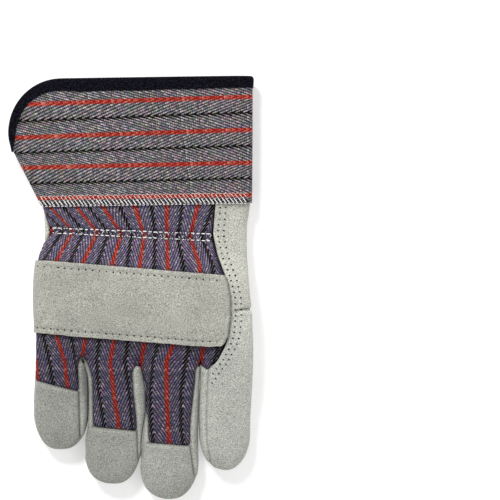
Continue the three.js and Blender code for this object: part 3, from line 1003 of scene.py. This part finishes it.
# %% [markdown]
# ## The binding tape
# The cuff's raw edge is bound: a dark tape is folded over it and sewn down. It is a U-shaped
# section carried along the edge, from the bottom of the slit round the corner, across the back,
# over the fold at the index finger's side and back along the palm's leaf. Such a tape is never
# folded quite evenly, so its width changes on the way.

# %% The binding tape
# share of the way round: width
TAPE_WIDTHS = [
    (0, 1.2), (0.02, 3.6), (0.06, 4.6), (0.1, 4.8), (0.2, 7.2), (0.3, 7.2), (0.42, 6.4), (0.5, 6.2),
    (0.58, 6.4), (0.8, 6.6), (0.92, 5), (0.98, 3.6), (1, 1.2),
]
TAPE_STEP = 1.2


def cuff_edge_path():
    """Evenly spaced places on the cuff's edge, all the way round."""
    fine = np.linspace(-math.pi, math.pi, 4001)[1:-1]
    edge = cuff_place(fine, cuff_ends(fine))[::-1]
    length = run_along(edge)
    wanted = np.linspace(0, length[-1], int(length[-1] / TAPE_STEP))
    return np.column_stack([np.interp(wanted, length, edge[:, i]) for i in range(3)])


def cuff_normals(points):
    left, right, bottom, top = smooth_rows(CUFF, points[:, 1]).T
    across = (points[:, 0] - (left + right) / 2) / ((right - left) / 2)
    up = (points[:, 2] - (bottom + top) / 2) / ((top - bottom) / 2)
    power = SQUARE["cuff"] - 1
    normal = np.column_stack([
        np.sign(across) * np.abs(across) ** power / (right - left),
        np.zeros(len(points)),
        np.sign(up) * np.abs(up) ** power / (top - bottom),
    ])
    return unit(normal)


path = cuff_edge_path()
for _ in range(6):
    path[1:-1] = (path[:-2] + 2 * path[1:-1] + path[2:]) / 4
normal = cuff_normals(path)
for _ in range(10):
    normal[1:-1] = normal[:-2] + 2 * normal[1:-1] + normal[2:]
    normal = unit(normal)
inward = unit(np.cross(normal, unit(np.gradient(path, axis=0))))
if inward[len(path) // 3, 1] > 0:
    inward = -inward
travelled = np.linspace(0, 1, len(path))
widths = np.interp(travelled, *np.array(TAPE_WIDTHS).T) + 0.35 * soft_noise(path, 18, 10)
rings = []
for place, out, into, width in zip(path, normal, inward, widths):
    section = [
        (width, 0.12), (width - 0.1, 0.75), (width - 0.9, 0.62), (width * 0.5, 0.9), (0.6, 0.95),
        (-0.5, 0.7), (-1.3, 0), (-1.5, -0.7), (-1.3, -1.4), (-0.5, -2.1), (0.6, -2.35),
        (width * 0.5, -2.3), (width - 0.1, -2.15), (width, -1.52), (width * 0.5, -1.55), (0.4, -1.5),
        (0.1, -0.7), (0.4, 0.1), (width * 0.5, 0.1),
    ]
    rings.append(np.array([place + into * a + out * b for a, b in section]))
binding = loft("cuff_binding_tape", rings)
smooth_shading(binding, 50)
print("binding", len(binding.data.polygons), "faces,", round(TAPE_STEP * len(path)), "mm long")

# %% [markdown]
# ## The wrist patch
# On the palm side the side leather goes on as a tongue that covers the pulse, sewn flat over the
# cuff. It is a plate of the same leather with two rounded corners and a softened edge.

# %% The wrist patch
PATCH = {"left_root": -3, "left_top": -8.5, "right": 50, "root": 50.5, "top": 97.6, "corner": 10}


def patch_corner(across, inset, start, end, steps):
    return arc(across, PATCH["top"] - PATCH["corner"], PATCH["corner"] - inset, start, end, steps)


right_corner, left_corner = PATCH["right"] - PATCH["corner"], PATCH["left_top"] + PATCH["corner"]
patch_outline = np.vstack([
    [(PATCH["left_root"], PATCH["root"]), (PATCH["right"], PATCH["root"])],
    patch_corner(right_corner, 0, 0, 90, 12),
    patch_corner(left_corner, 0, 90, 180, 12),
])
patch = prism("wrist_patch", patch_outline, 0.05, WALL)
sharp = math.radians(50)
apply_modifier(patch, "BEVEL", width=0.45 * MM, segments=3, limit_method="ANGLE", angle_limit=sharp)
smooth_shading(patch, 40)
print("patch", len(patch.data.polygons), "faces")

# %% [markdown]
# ## Thread
# All thread is short stitches, so each kind of stitching is one object made of many small
# capsules: a rod with rounded ends, bent to lie on whatever is under it. A capsule is cheap, as
# it has only a few dozen faces, and hundreds of them fit on the glove.

# %% Thread
CAPSULE_SIDES = 6


def capsule(start, end, radius, bend=0.0):
    """Points and faces of a rod with rounded ends between two places, bowed upwards by bend."""
    start, end = np.asarray(start, float), np.asarray(end, float)
    axis = end - start
    length = np.linalg.norm(axis)
    axis = axis / length
    up = np.array([0, 0, 1.0])
    side = np.cross(axis, up)
    side = side / np.linalg.norm(side)
    up = np.cross(side, axis)
    profile = [(0.0, 0.45), (0.12, 0.85), (0.3, 1), (0.7, 1), (0.88, 0.85), (1.0, 0.45)]
    turn = np.arange(CAPSULE_SIDES) * 2 * math.pi / CAPSULE_SIDES
    rings = []
    for share, thick in profile:
        middle = start + axis * length * share + up * (bend * 4 * share * (1 - share))
        ring = middle + radius * thick * (np.outer(np.cos(turn), side) + np.outer(np.sin(turn), up))
        rings.append(ring)
    walls, ends = tube_faces(len(profile), CAPSULE_SIDES)
    return np.vstack(rings), [(a, d, c, b) for a, b, c, d in walls] + [end[::-1] for end in ends]


def thread_object(name, stitches):
    """One object out of many capsules."""
    points, faces, count = [], [], 0
    for stitch_points, stitch_faces in stitches:
        points.append(stitch_points)
        faces += [tuple(i + count for i in face) for face in stitch_faces]
        count += len(stitch_points)
    obj = mesh_from(name, np.vstack(points), faces)
    smooth_shading(obj, 60)
    print(name, len(stitches), "stitches")
    return obj


def surface_of(*objects):
    graph = bpy.context.evaluated_depsgraph_get()
    return [BVHTree.FromObject(obj, graph) for obj in objects]


def on_top(surfaces, x, y, from_below=False):
    """The height of the highest of several surfaces at a place seen from above, or the lowest."""
    start, way = (Vector((x, y, -60)), 1) if from_below else (Vector((x, y, 90)), -1)
    heights = []
    for surface in surfaces:
        hit = surface.ray_cast(start * MM, Vector((0, 0, way)))[0]
        if hit is not None:
            heights.append(hit[2] / MM)
    if not heights:
        return None
    return min(heights) if from_below else max(heights)


def rows_of_stitches(surfaces, line, length, gap, radius, sink=0.1, from_below=False, uneven=0.0):
    """Capsules that follow a line drawn from above, each lying on the surfaces."""
    line = np.asarray(line, float)
    run = run_along(line)
    stitches = []
    for start in np.arange(0, run[-1] - length, length + gap):
        seeds = [Vector((start * 1.7, line[0, 0], line[0, 1] + k * 9.3)) for k in range(3)]
        stray = [uneven * noise.noise(seed) for seed in seeds]
        ends = []
        for place in (start + stray[0], start + length + stray[1]):
            x = np.interp(place, run, line[:, 0])
            y = np.interp(place, run, line[:, 1]) + 0.6 * stray[2]
            z = on_top(surfaces, x, y, from_below)
            if z is None:
                break
            ends.append((x, y, z + (sink if from_below else -sink)))
        if len(ends) == 2 and abs(ends[0][2] - ends[1][2]) < 2:
            stitches.append(capsule(*ends, radius))
    return stitches


print("thread ready")

# %% [markdown]
# ## The back's stitches
# Two rows of white stitches hold the elastic, and a finer thread crosses from one row to the other.
# An overlock of white and black thread covers the cloth's raw edge where the hand meets the cuff,
# on the back and, beside the patch, on the palm side.

# %% Stitches on the back
cloth_surface = surface_of(hand_back)
cuff_surface = surface_of(cuff)
elastic = []
for line in ELASTIC_ROWS:
    elastic += rows_of_stitches(cloth_surface, line, 2.3, 1.1, 0.4, sink=-0.1, uneven=0.6)
crossing = []
for i, share in enumerate(np.linspace(0, 1, 38)):
    left, right = np.array(ELASTIC_ROWS[0 if i % 2 else 1])
    crossing.append(left + (right - left) * share)
elastic += rows_of_stitches(cloth_surface, crossing, 1.6, 2.5, 0.18, sink=-0.1, uneven=1.0)
elastic_thread = thread_object("elastic_stitches", elastic)

OVERLOCK_STEP = 2.6
OVERLOCK_WIDTH = 3.4
# how far along, colour, radius and where each thread of one stitch starts and ends across the edge
OVERLOCK = [
    (0.0, "white", 0.27, 1.0, -0.05), (1.3, "black", 0.36, 0.9, 0.1), (0.3, "white", 0.16, 1.75, 1.05),
]
threads = {"white": [], "black": []}


def overlock(start, end, low_at, surfaces, from_below=False):
    """Slanting threads that bind the cuff's raw edge, from one place across the hand to another."""
    up = -1 if from_below else 1
    for x in np.arange(start, end, OVERLOCK_STEP):
        low = low_at(x)
        for shift, colour, radius, first, last in OVERLOCK:
            stray = [noise.noise(Vector((x * 0.9, shift, k * 7.7 + up))) for k in range(3)]
            lean = (2.7 + 0.9 * stray[0]) * (first - last)
            middle, foot = x + shift + 0.6 * stray[1], low + 0.1 + 0.7 * stray[2]
            places = [
                (middle + side * lean, foot + OVERLOCK_WIDTH * share)
                for share, side in ((first, -0.5), (last, 0.5))
            ]
            levels = [on_top(surfaces, a, b, from_below) for a, b in places]
            level = up * max(up * z for z in levels if z is not None)
            ends = [(a, b, level + (0.15 if colour == "white" else 0.0) * up) for a, b in places]
            threads[colour].append(capsule(*ends, radius * (1 + 0.25 * stray[1]), bend=0.15 * up))
        stray = noise.noise(Vector((x * 1.3, up, 3.1)))
        for reach, radius in ((-0.1, 0.17), (1.85, 0.14)):
            a, b = x + 0.3 * stray, low + OVERLOCK_WIDTH * reach + 0.25 * stray
            z = on_top(surfaces, a + 0.8, max(b, low + 0.4), from_below) + 0.1 * up
            threads["white"].append(capsule((a, b, z), (a + 1.7, b, z), radius))


overlock(-58.2, 73.5, cuff_start, surface_of(cuff, hand_back, side_leather))
for start, end in ((-54, -5.5), (52, 72)):
    overlock(start, end, lambda x: 55.1, cuff_surface, from_below=True)
white_thread = thread_object("white_overlock_thread", threads["white"])
black_thread = thread_object("black_overlock_thread", threads["black"])

# %% [markdown]
# ## Needle holes
# On leather the thread sinks in and only the needle's holes show. A hole is a short dark capsule
# that is set into the leather, so it reads as a pit with a soft rim; its dark is painted shade.

# %% Needle holes
NEEDLE = 0.66
strap_surface = surface_of(strap)
leather_surface = surface_of(side_leather, palm)
right_edge = np.array([
    (53.9, 52), (52.3, 34.7), (55.2, 20.6), (60.3, 7.2), (63.4, -5), (63.8, -17.8), (62.7, -29.9),
    (59.9, -37.6), (55, -46.6), (51.4, -51.5), (48.5, -55.5), (46.3, -59.3), (43.4, -62.2),
])
holes = []
for aside, line in ((2.5, right_edge[:-2]), (6.2, right_edge)):
    holes += rows_of_stitches(leather_surface, line + (aside, 0), 0.8, 2.9, NEEDLE, sink=0.12, uneven=0.35)
for edge, side in (("top", -1), ("bottom", 1)):
    line = [(x, strap_edge(x, STRAP[edge]) + side * STITCH_INSET) for x in (-60, 58)]
    holes += rows_of_stitches(strap_surface, line, 0.8, 3.6, 0.56, sink=0.08, uneven=0.5)
needle_holes = thread_object("needle_holes", holes)

# %% [markdown]
# ## The palm side's stitches
# The wrist patch is sewn down along its edge and twice across its root, and on both sides of it a
# row of black chain stitches holds the cuff.

# %% Stitches on the palm side
patch_surface = surface_of(patch)
under_surface = surface_of(cuff, side_leather, thumb)
inset = 2.5
patch_line = np.vstack([
    [(PATCH["left_root"] + inset, 62)],
    patch_corner(left_corner, inset, 180, 90, 8),
    patch_corner(right_corner, inset, 90, 0, 8),
    [(PATCH["right"] - inset, 62)],
])
SUNK = NEEDLE - 0.04
patch_holes = rows_of_stitches(patch_surface, patch_line, 0.5, 2.8, NEEDLE, sink=SUNK, from_below=True)
for up in (57.5, 61.5):
    row = [(PATCH["left_root"] + 1, up), (PATCH["right"] - 1, up)]
    patch_holes += rows_of_stitches(patch_surface, row, 0.5, 3.4, NEEDLE, SUNK, True)
patch_needle_holes = thread_object("patch_needle_holes", patch_holes)
under = []
for left, right in ((-52, -6), (51.5, 72)):
    under += rows_of_stitches(under_surface, [(left, 60.1), (right, 60.1)], 2.6, 0.7, 0.45, -0.25, True)
under_thread = thread_object("black_chain_stitch", under)

# %% [markdown]
# ## Suede
# Split leather is brushed until its fibres stand up, so it is dull, and its colour is broken up
# by a fine grain and by soft clouds where the nap lies another way. Painted shade in the valleys
# comes in with each piece's tone. The grain is built once as a node group that gives a tone and a
# height, and every leather piece uses it with a colour of its own.

# %% Suede
def new_group(name, inputs, outputs):
    """An empty node group with the sockets asked for: name, kind and default value."""
    group = bpy.data.node_groups.new(name, "ShaderNodeTree")
    for label, kind, value in inputs:
        socket = group.interface.new_socket(label, in_out="INPUT", socket_type=kind)
        if value is not None:
            socket.default_value = value
    for label, kind in outputs:
        group.interface.new_socket(label, in_out="OUTPUT", socket_type=kind)
    return group, group.nodes.new("NodeGroupInput"), group.nodes.new("NodeGroupOutput")


class Wires:
    """Short ways to add linked nodes to a node tree."""

    def __init__(self, tree):
        self.tree = tree

    def put(self, socket, value):
        if isinstance(value, bpy.types.NodeSocket):
            self.tree.links.new(value, socket)
        else:
            socket.default_value = value

    def node(self, kind, values=(), **settings):
        """A new node, its settings and the values of its first inputs."""
        node = self.tree.nodes.new("ShaderNode" + kind)
        for setting, value in settings.items():
            setattr(node, setting, value)
        for socket, value in zip(node.inputs, values):
            self.put(socket, value)
        return node

    def math(self, operation, *values):
        return self.node("Math", values, operation=operation).outputs[0]

    def plus(self, first, second):
        return self.math("ADD", first, second)

    def minus(self, first, second):
        return self.math("SUBTRACT", first, second)

    def times(self, first, second):
        return self.math("MULTIPLY", first, second)

    def smooth(self, value, low, high, out_low=0.0, out_high=1.0):
        values = (value, low, high, out_low, out_high)
        return self.node("MapRange", values, interpolation_type="SMOOTHSTEP").outputs[0]

    def noise(self, vector, scale, detail=2.0, roughness=0.5, output="Fac"):
        node = self.node("TexNoise")
        values = {"Vector": vector, "Scale": scale, "Detail": detail, "Roughness": roughness}
        for label, value in values.items():
            self.put(node.inputs[label], value)
        return node.outputs[output]

    def scale(self, colour, share):
        node = self.node("VectorMath", [colour], operation="SCALE")
        self.put(node.inputs["Scale"], share)
        return node.outputs[0]

    def mix(self, share, first, second, blend="MIX"):
        node = self.node("Mix", data_type="RGBA", blend_type=blend)
        self.put(node.inputs["Factor"], share)
        colour_inputs = [socket for socket in node.inputs if socket.type == "RGBA"]
        self.put(colour_inputs[0], first)
        self.put(colour_inputs[1], second)
        return next(socket for socket in node.outputs if socket.type == "RGBA")

    def multiply(self, first, second):
        return self.mix(1.0, first, second, "MULTIPLY")


suede_group, suede_in, suede_out = new_group(
    "suede nap",
    [
        ("Place", "NodeSocketVector", None),
        ("Colour", "NodeSocketColor", (0.4, 0.4, 0.37, 1)),
        ("Tone", "NodeSocketFloat", 1.0),
    ],
    [("Colour", "NodeSocketColor"), ("Height", "NodeSocketFloat")],
)
wires = Wires(suede_group)
place = suede_in.outputs["Place"]
grain = wires.plus(wires.noise(place, 2000, 1), wires.times(wires.noise(place, 1300, 0), 0.4))
nap = wires.noise(place, 620, 2, 0.6)
clouds = wires.noise(place, 30, 3, 0.55)
tone = wires.smooth(grain, 0.38, 1.02, 0.45, 1.55)
tone = wires.times(tone, wires.smooth(clouds, 0.3, 0.7, 0.9, 1.1))
# the piece's tone brings its painted shade and painted light into the colour
tone = wires.times(tone, suede_in.outputs["Tone"])
wires.put(suede_out.inputs["Colour"], wires.scale(suede_in.outputs["Colour"], tone))
wires.put(suede_out.inputs["Height"], wires.plus(grain, wires.times(nap, 0.2)))


def new_material(name):
    material = bpy.data.materials.new(name)
    material.use_nodes = True
    return material, Wires(material.node_tree), material.node_tree.nodes["Principled BSDF"].inputs


def add_bump(wires, looks, height, distance):
    node = wires.node("Bump")
    node.inputs["Distance"].default_value = distance * MM
    wires.put(node.inputs["Height"], height)
    wires.put(looks["Normal"], node.outputs["Normal"])


def patterned(name, pattern, place_of, settings, relief, finish):
    """A material that takes colour and height from a pattern's group, and tone from the piece."""
    material, wires, looks = new_material(name)
    group = wires.node("Group", node_tree=pattern)
    wires.put(group.inputs[0], place_of(wires))
    wires.put(group.inputs["Tone"], wires.node("Attribute", attribute_name="tone").outputs["Fac"])
    for label, value in settings.items():
        group.inputs[label].default_value = value
    wires.put(looks["Base Color"], group.outputs["Colour"])
    add_bump(wires, looks, group.outputs["Height"], relief)
    for label, value in finish.items():
        looks[label].default_value = value
    return material


def on_piece(wires):
    return wires.node("TexCoord").outputs["Object"]


def on_cloth(wires):
    return wires.node("UVMap", uv_map="cloth").outputs[0]


def suede(name, colour):
    finish = {"Roughness": 0.95, "Specular IOR Level": 0.15, "Sheen Weight": 0.25, "Sheen Roughness": 0.6}
    return patterned(name, suede_group, on_piece, {"Colour": (*colour, 1)}, 0.2, finish)


pale_suede = suede("pale split leather", (0.475, 0.475, 0.42))
strap_suede = suede("strap split leather", (0.415, 0.415, 0.365))
grey_suede = suede("grey split leather", (0.375, 0.385, 0.345))
print("three shades of suede")

# %% [markdown]
# ## Striped herringbone twill
# The cloth is a twill whose slanting ribs turn back at every coloured stripe, which gives long
# chevrons. The group measures how far a place is from the nearest red stripe, slants the ribs by
# it, and draws light threads on a dark ground. Red threads replace the light ones near a red
# stripe, and black ones halfway between two of them.

# %% Striped herringbone twill
YARN = 1.3
twill_group, twill_in, twill_out = new_group(
    "striped twill",
    [
        ("Cloth", "NodeSocketVector", None),
        ("Light", "NodeSocketColor", (0.4, 0.38, 0.36, 1)),
        ("Dark", "NodeSocketColor", (0.05, 0.045, 0.07, 1)),
        ("Slant", "NodeSocketFloat", math.radians(24)),
        ("Pitch", "NodeSocketFloat", 1.7),
        ("Turn", "NodeSocketFloat", 0.0),
        ("Black", "NodeSocketFloat", 0.8),
        ("Red", "NodeSocketFloat", 1.4),
        ("Dash", "NodeSocketFloat", 0.3),
        ("Tone", "NodeSocketFloat", 1.0),
    ],
    [("Colour", "NodeSocketColor"), ("Height", "NodeSocketFloat")],
)
wires = Wires(twill_group)
cloth = twill_in.outputs["Cloth"]
split = wires.node("SeparateXYZ", [cloth])
u, v = split.outputs[0], split.outputs[1]
wobble = wires.times(wires.minus(wires.noise(cloth, 0.5, 2), 0.5), 0.7)
v_soft = wires.plus(v, wobble)
from_red = wires.math("PINGPONG", v_soft, STRIPE_REPEAT / 2)
rib_v = wires.math("PINGPONG", wires.minus(v_soft, twill_in.outputs["Turn"]), STRIPE_REPEAT / 2)
slant = twill_in.outputs["Slant"]
cosine, sine = wires.math("COSINE", slant), wires.math("SINE", slant)
along_rib = wires.plus(wires.times(rib_v, cosine), wires.times(u, sine))
rib_phase = wires.math("DIVIDE", along_rib, twill_in.outputs["Pitch"])
rib_number = wires.math("FLOOR", rib_phase)
rib_wave = wires.math("SINE", wires.times(rib_phase, 2 * math.pi))
across_rib = wires.minus(wires.times(u, cosine), wires.times(rib_v, sine))
across_rib = wires.plus(across_rib, wires.times(rib_number, 0.48))
yarn_wave = wires.math("SINE", wires.times(across_rib, 2 * math.pi / YARN))

# each yarn on each rib draws a number of its own
yarn_place = wires.node("CombineXYZ", [wires.times(rib_number, 1.37), wires.times(across_rib, 1 / YARN)])
yarn_cell = wires.node("VectorMath", [yarn_place.outputs[0]], operation="FLOOR")
speck = wires.node("TexWhiteNoise", noise_dimensions="2D")
wires.put(speck.inputs["Vector"], yarn_cell.outputs[0])
draw = speck.outputs["Value"]
beads = wires.minus(wires.times(draw, 0.5), 0.25)
rib_edge = wires.plus(rib_wave, wires.plus(wires.times(yarn_wave, 0.5), beads))
rib = wires.smooth(rib_edge, -0.2, 1.0)
tint = wires.multiply(wires.mix(0.16, (0.5, 0.5, 0.5, 1), speck.outputs["Color"]), (2, 2, 2, 1))
warm_or_cold = wires.smooth(wires.noise(cloth, 0.11, 2), 0.35, 0.65)
hue = wires.mix(warm_or_cold, (1.05, 0.98, 1.0, 1), (0.95, 1.0, 1.05, 1))
light = wires.multiply(wires.multiply(twill_in.outputs["Light"], tint), hue)
light = wires.mix(wires.smooth(draw, 0, 1), light, wires.multiply(light, (1.5, 1.5, 1.5, 1)))
light = wires.mix(wires.smooth(draw, 0.84, 0.95, 0.0, 0.34), light, (0.72, 0.7, 0.66, 1))
fuzz = wires.noise(cloth, 1.4, 3, 0.6)
ground = wires.mix(wires.smooth(fuzz, 0.35, 0.7, 0.0, 0.3), twill_in.outputs["Dark"], light)
plain = wires.mix(rib, ground, light)
uneven = wires.mix(0.42, wires.noise(cloth, 1.15, 0), wires.noise(cloth, 1.15, 0, output="Color"))
plain = wires.multiply(plain, wires.multiply(uneven, (2, 2, 2, 1)))

red_edge = wires.plus(twill_in.outputs["Red"], wires.times(rib_wave, 0.16))
red_mask = wires.smooth(wires.minus(red_edge, from_red), -0.12, 0.12)
red_light = wires.mix(draw, (0.53, 0.035, 0.02, 1), (0.66, 0.13, 0.08, 1))
red = wires.mix(rib, (0.2, 0.012, 0.01, 1), red_light)
red = wires.mix(wires.smooth(draw, 0.8, 0.95, 0.0, 0.25), red, (0.8, 0.42, 0.34, 1))
from_black = wires.minus(STRIPE_REPEAT / 2, from_red)
black_edge = wires.minus(twill_in.outputs["Black"], wires.times(rib_wave, twill_in.outputs["Dash"]))
black_mask = wires.smooth(wires.minus(black_edge, from_black), -0.15, 0.15)
black = wires.mix(wires.smooth(rib_wave, 0.7, 1.05), (0.001, 0.001, 0.001, 1), (0.16, 0.15, 0.11, 1))
striped = wires.mix(black_mask, wires.mix(red_mask, plain, red), black)
wires.put(twill_out.inputs["Colour"], wires.scale(striped, twill_in.outputs["Tone"]))
wires.put(twill_out.inputs["Height"], rib)


def twill(name, light, dark, slant, *numbers):
    settings = {"Light": (*light, 1), "Dark": (*dark, 1), "Slant": math.radians(slant)}
    settings.update(zip(("Pitch", "Turn", "Black", "Dash", "Red"), numbers))
    finish = {"Roughness": 0.9, "Specular IOR Level": 0.15}
    return patterned(name, twill_group, on_cloth, settings, 0.22, finish)


cuff_twill = twill(
    "striped cuff cloth", (0.265, 0.245, 0.252), (0.008, 0.007, 0.011), 21, 1.6, 0.4, 1.05, 0.6, 1.3
)
back_twill = twill(
    "striped back cloth", (0.185, 0.158, 0.23), (0.02, 0.016, 0.031), 30, 1.68, 1.6, 1.3, 0.6, 1.45
)
print("two twills, for the cuff and for the back")

# %% [markdown]
# ## Tape, yarn and the floor
# The rest is plain: a dark tape with a fine grain and painted glints, matt white and black yarn, the
# painted shade of a needle hole, and a floor that is nearly white and faintly bright by itself.

# %% Plain materials
def plain_material(name, colour, roughness=0.8, grain=0.0):
    material, wires, looks = new_material(name)
    looks["Base Color"].default_value = (*colour, 1)
    looks["Roughness"].default_value = roughness
    looks["Specular IOR Level"].default_value = 0.05
    if grain:
        threads = wires.noise(on_piece(wires), 1300, 1)
        add_bump(wires, looks, threads, grain)
        # lighter specks: the tape's woven grain, partly painted glints
        grain_and_glints = wires.mix(wires.smooth(threads, 0.45, 0.75), (*colour, 1), (0.018, 0.018, 0.028, 1))
        wires.put(looks["Base Color"], grain_and_glints)
    return material


tape_material = plain_material("binding tape", (0.0008, 0.0008, 0.0025), 0.8, 0.25)
white_yarn = plain_material("white yarn", (0.95, 0.95, 0.92))
black_yarn = plain_material("black yarn", (0.012, 0.012, 0.014))
# the holes' dark colour is painted shade inside each pit
hole_shade_material = plain_material("needle hole", (0.012, 0.012, 0.011), 1)
floor_material = plain_material("studio floor", (0.93, 0.93, 0.93), 0.9)
floor_shader = floor_material.node_tree.nodes["Principled BSDF"]
floor_shader.inputs["Emission Color"].default_value = (1, 1, 1, 1)
floor_shader.inputs["Emission Strength"].default_value = 0.3
print("plain materials ready")

# %% [markdown]
# ## Handing over
# Each finished piece takes its material, stands in for the solid it was made after and moves with
# the glove's one body. The skin that the panels were cut from has done its work.

# %% Handing over
floor.data.materials.append(floor_material)
throw_away(skin)
pieces = [
    (hand_back, back_twill, "striped_cloth", "hand_back"),
    (cuff, cuff_twill, "striped_cloth", "cuff"),
    (binding, tape_material, "binding_tape", "cuff_binding"),
    (strap, strap_suede, "split_leather", "knuckle_strap"),
    (side_leather, pale_suede, "split_leather", "side_leather"),
    (palm, grey_suede, "split_leather", "palm"),
    (middle_ring, grey_suede, "split_leather", "middle_ring_front"),
    (thumb, pale_suede, "split_leather", "thumb"),
    (patch, pale_suede, "split_leather", None),
    (elastic_thread, white_yarn, "striped_cloth", None),
    (white_thread, white_yarn, "striped_cloth", None),
    (black_thread, black_yarn, "striped_cloth", None),
    (under_thread, black_yarn, "striped_cloth", None),
    (needle_holes, hole_shade_material, "split_leather", None),
    (patch_needle_holes, hole_shade_material, "split_leather", None),
]
pieces += [(cap, grey_suede, "split_leather", name) for name, cap in tips.items()]
for obj in (cuff, patch):
    write_tone(obj, np.ones(len(obj.data.vertices)))
for obj, material, slot, node in pieces:
    obj.data.materials.clear()
    obj.data.materials.append(material)
    if node:
        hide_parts(node)
    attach(obj, "root")
print("handed over", len(pieces), "pieces")
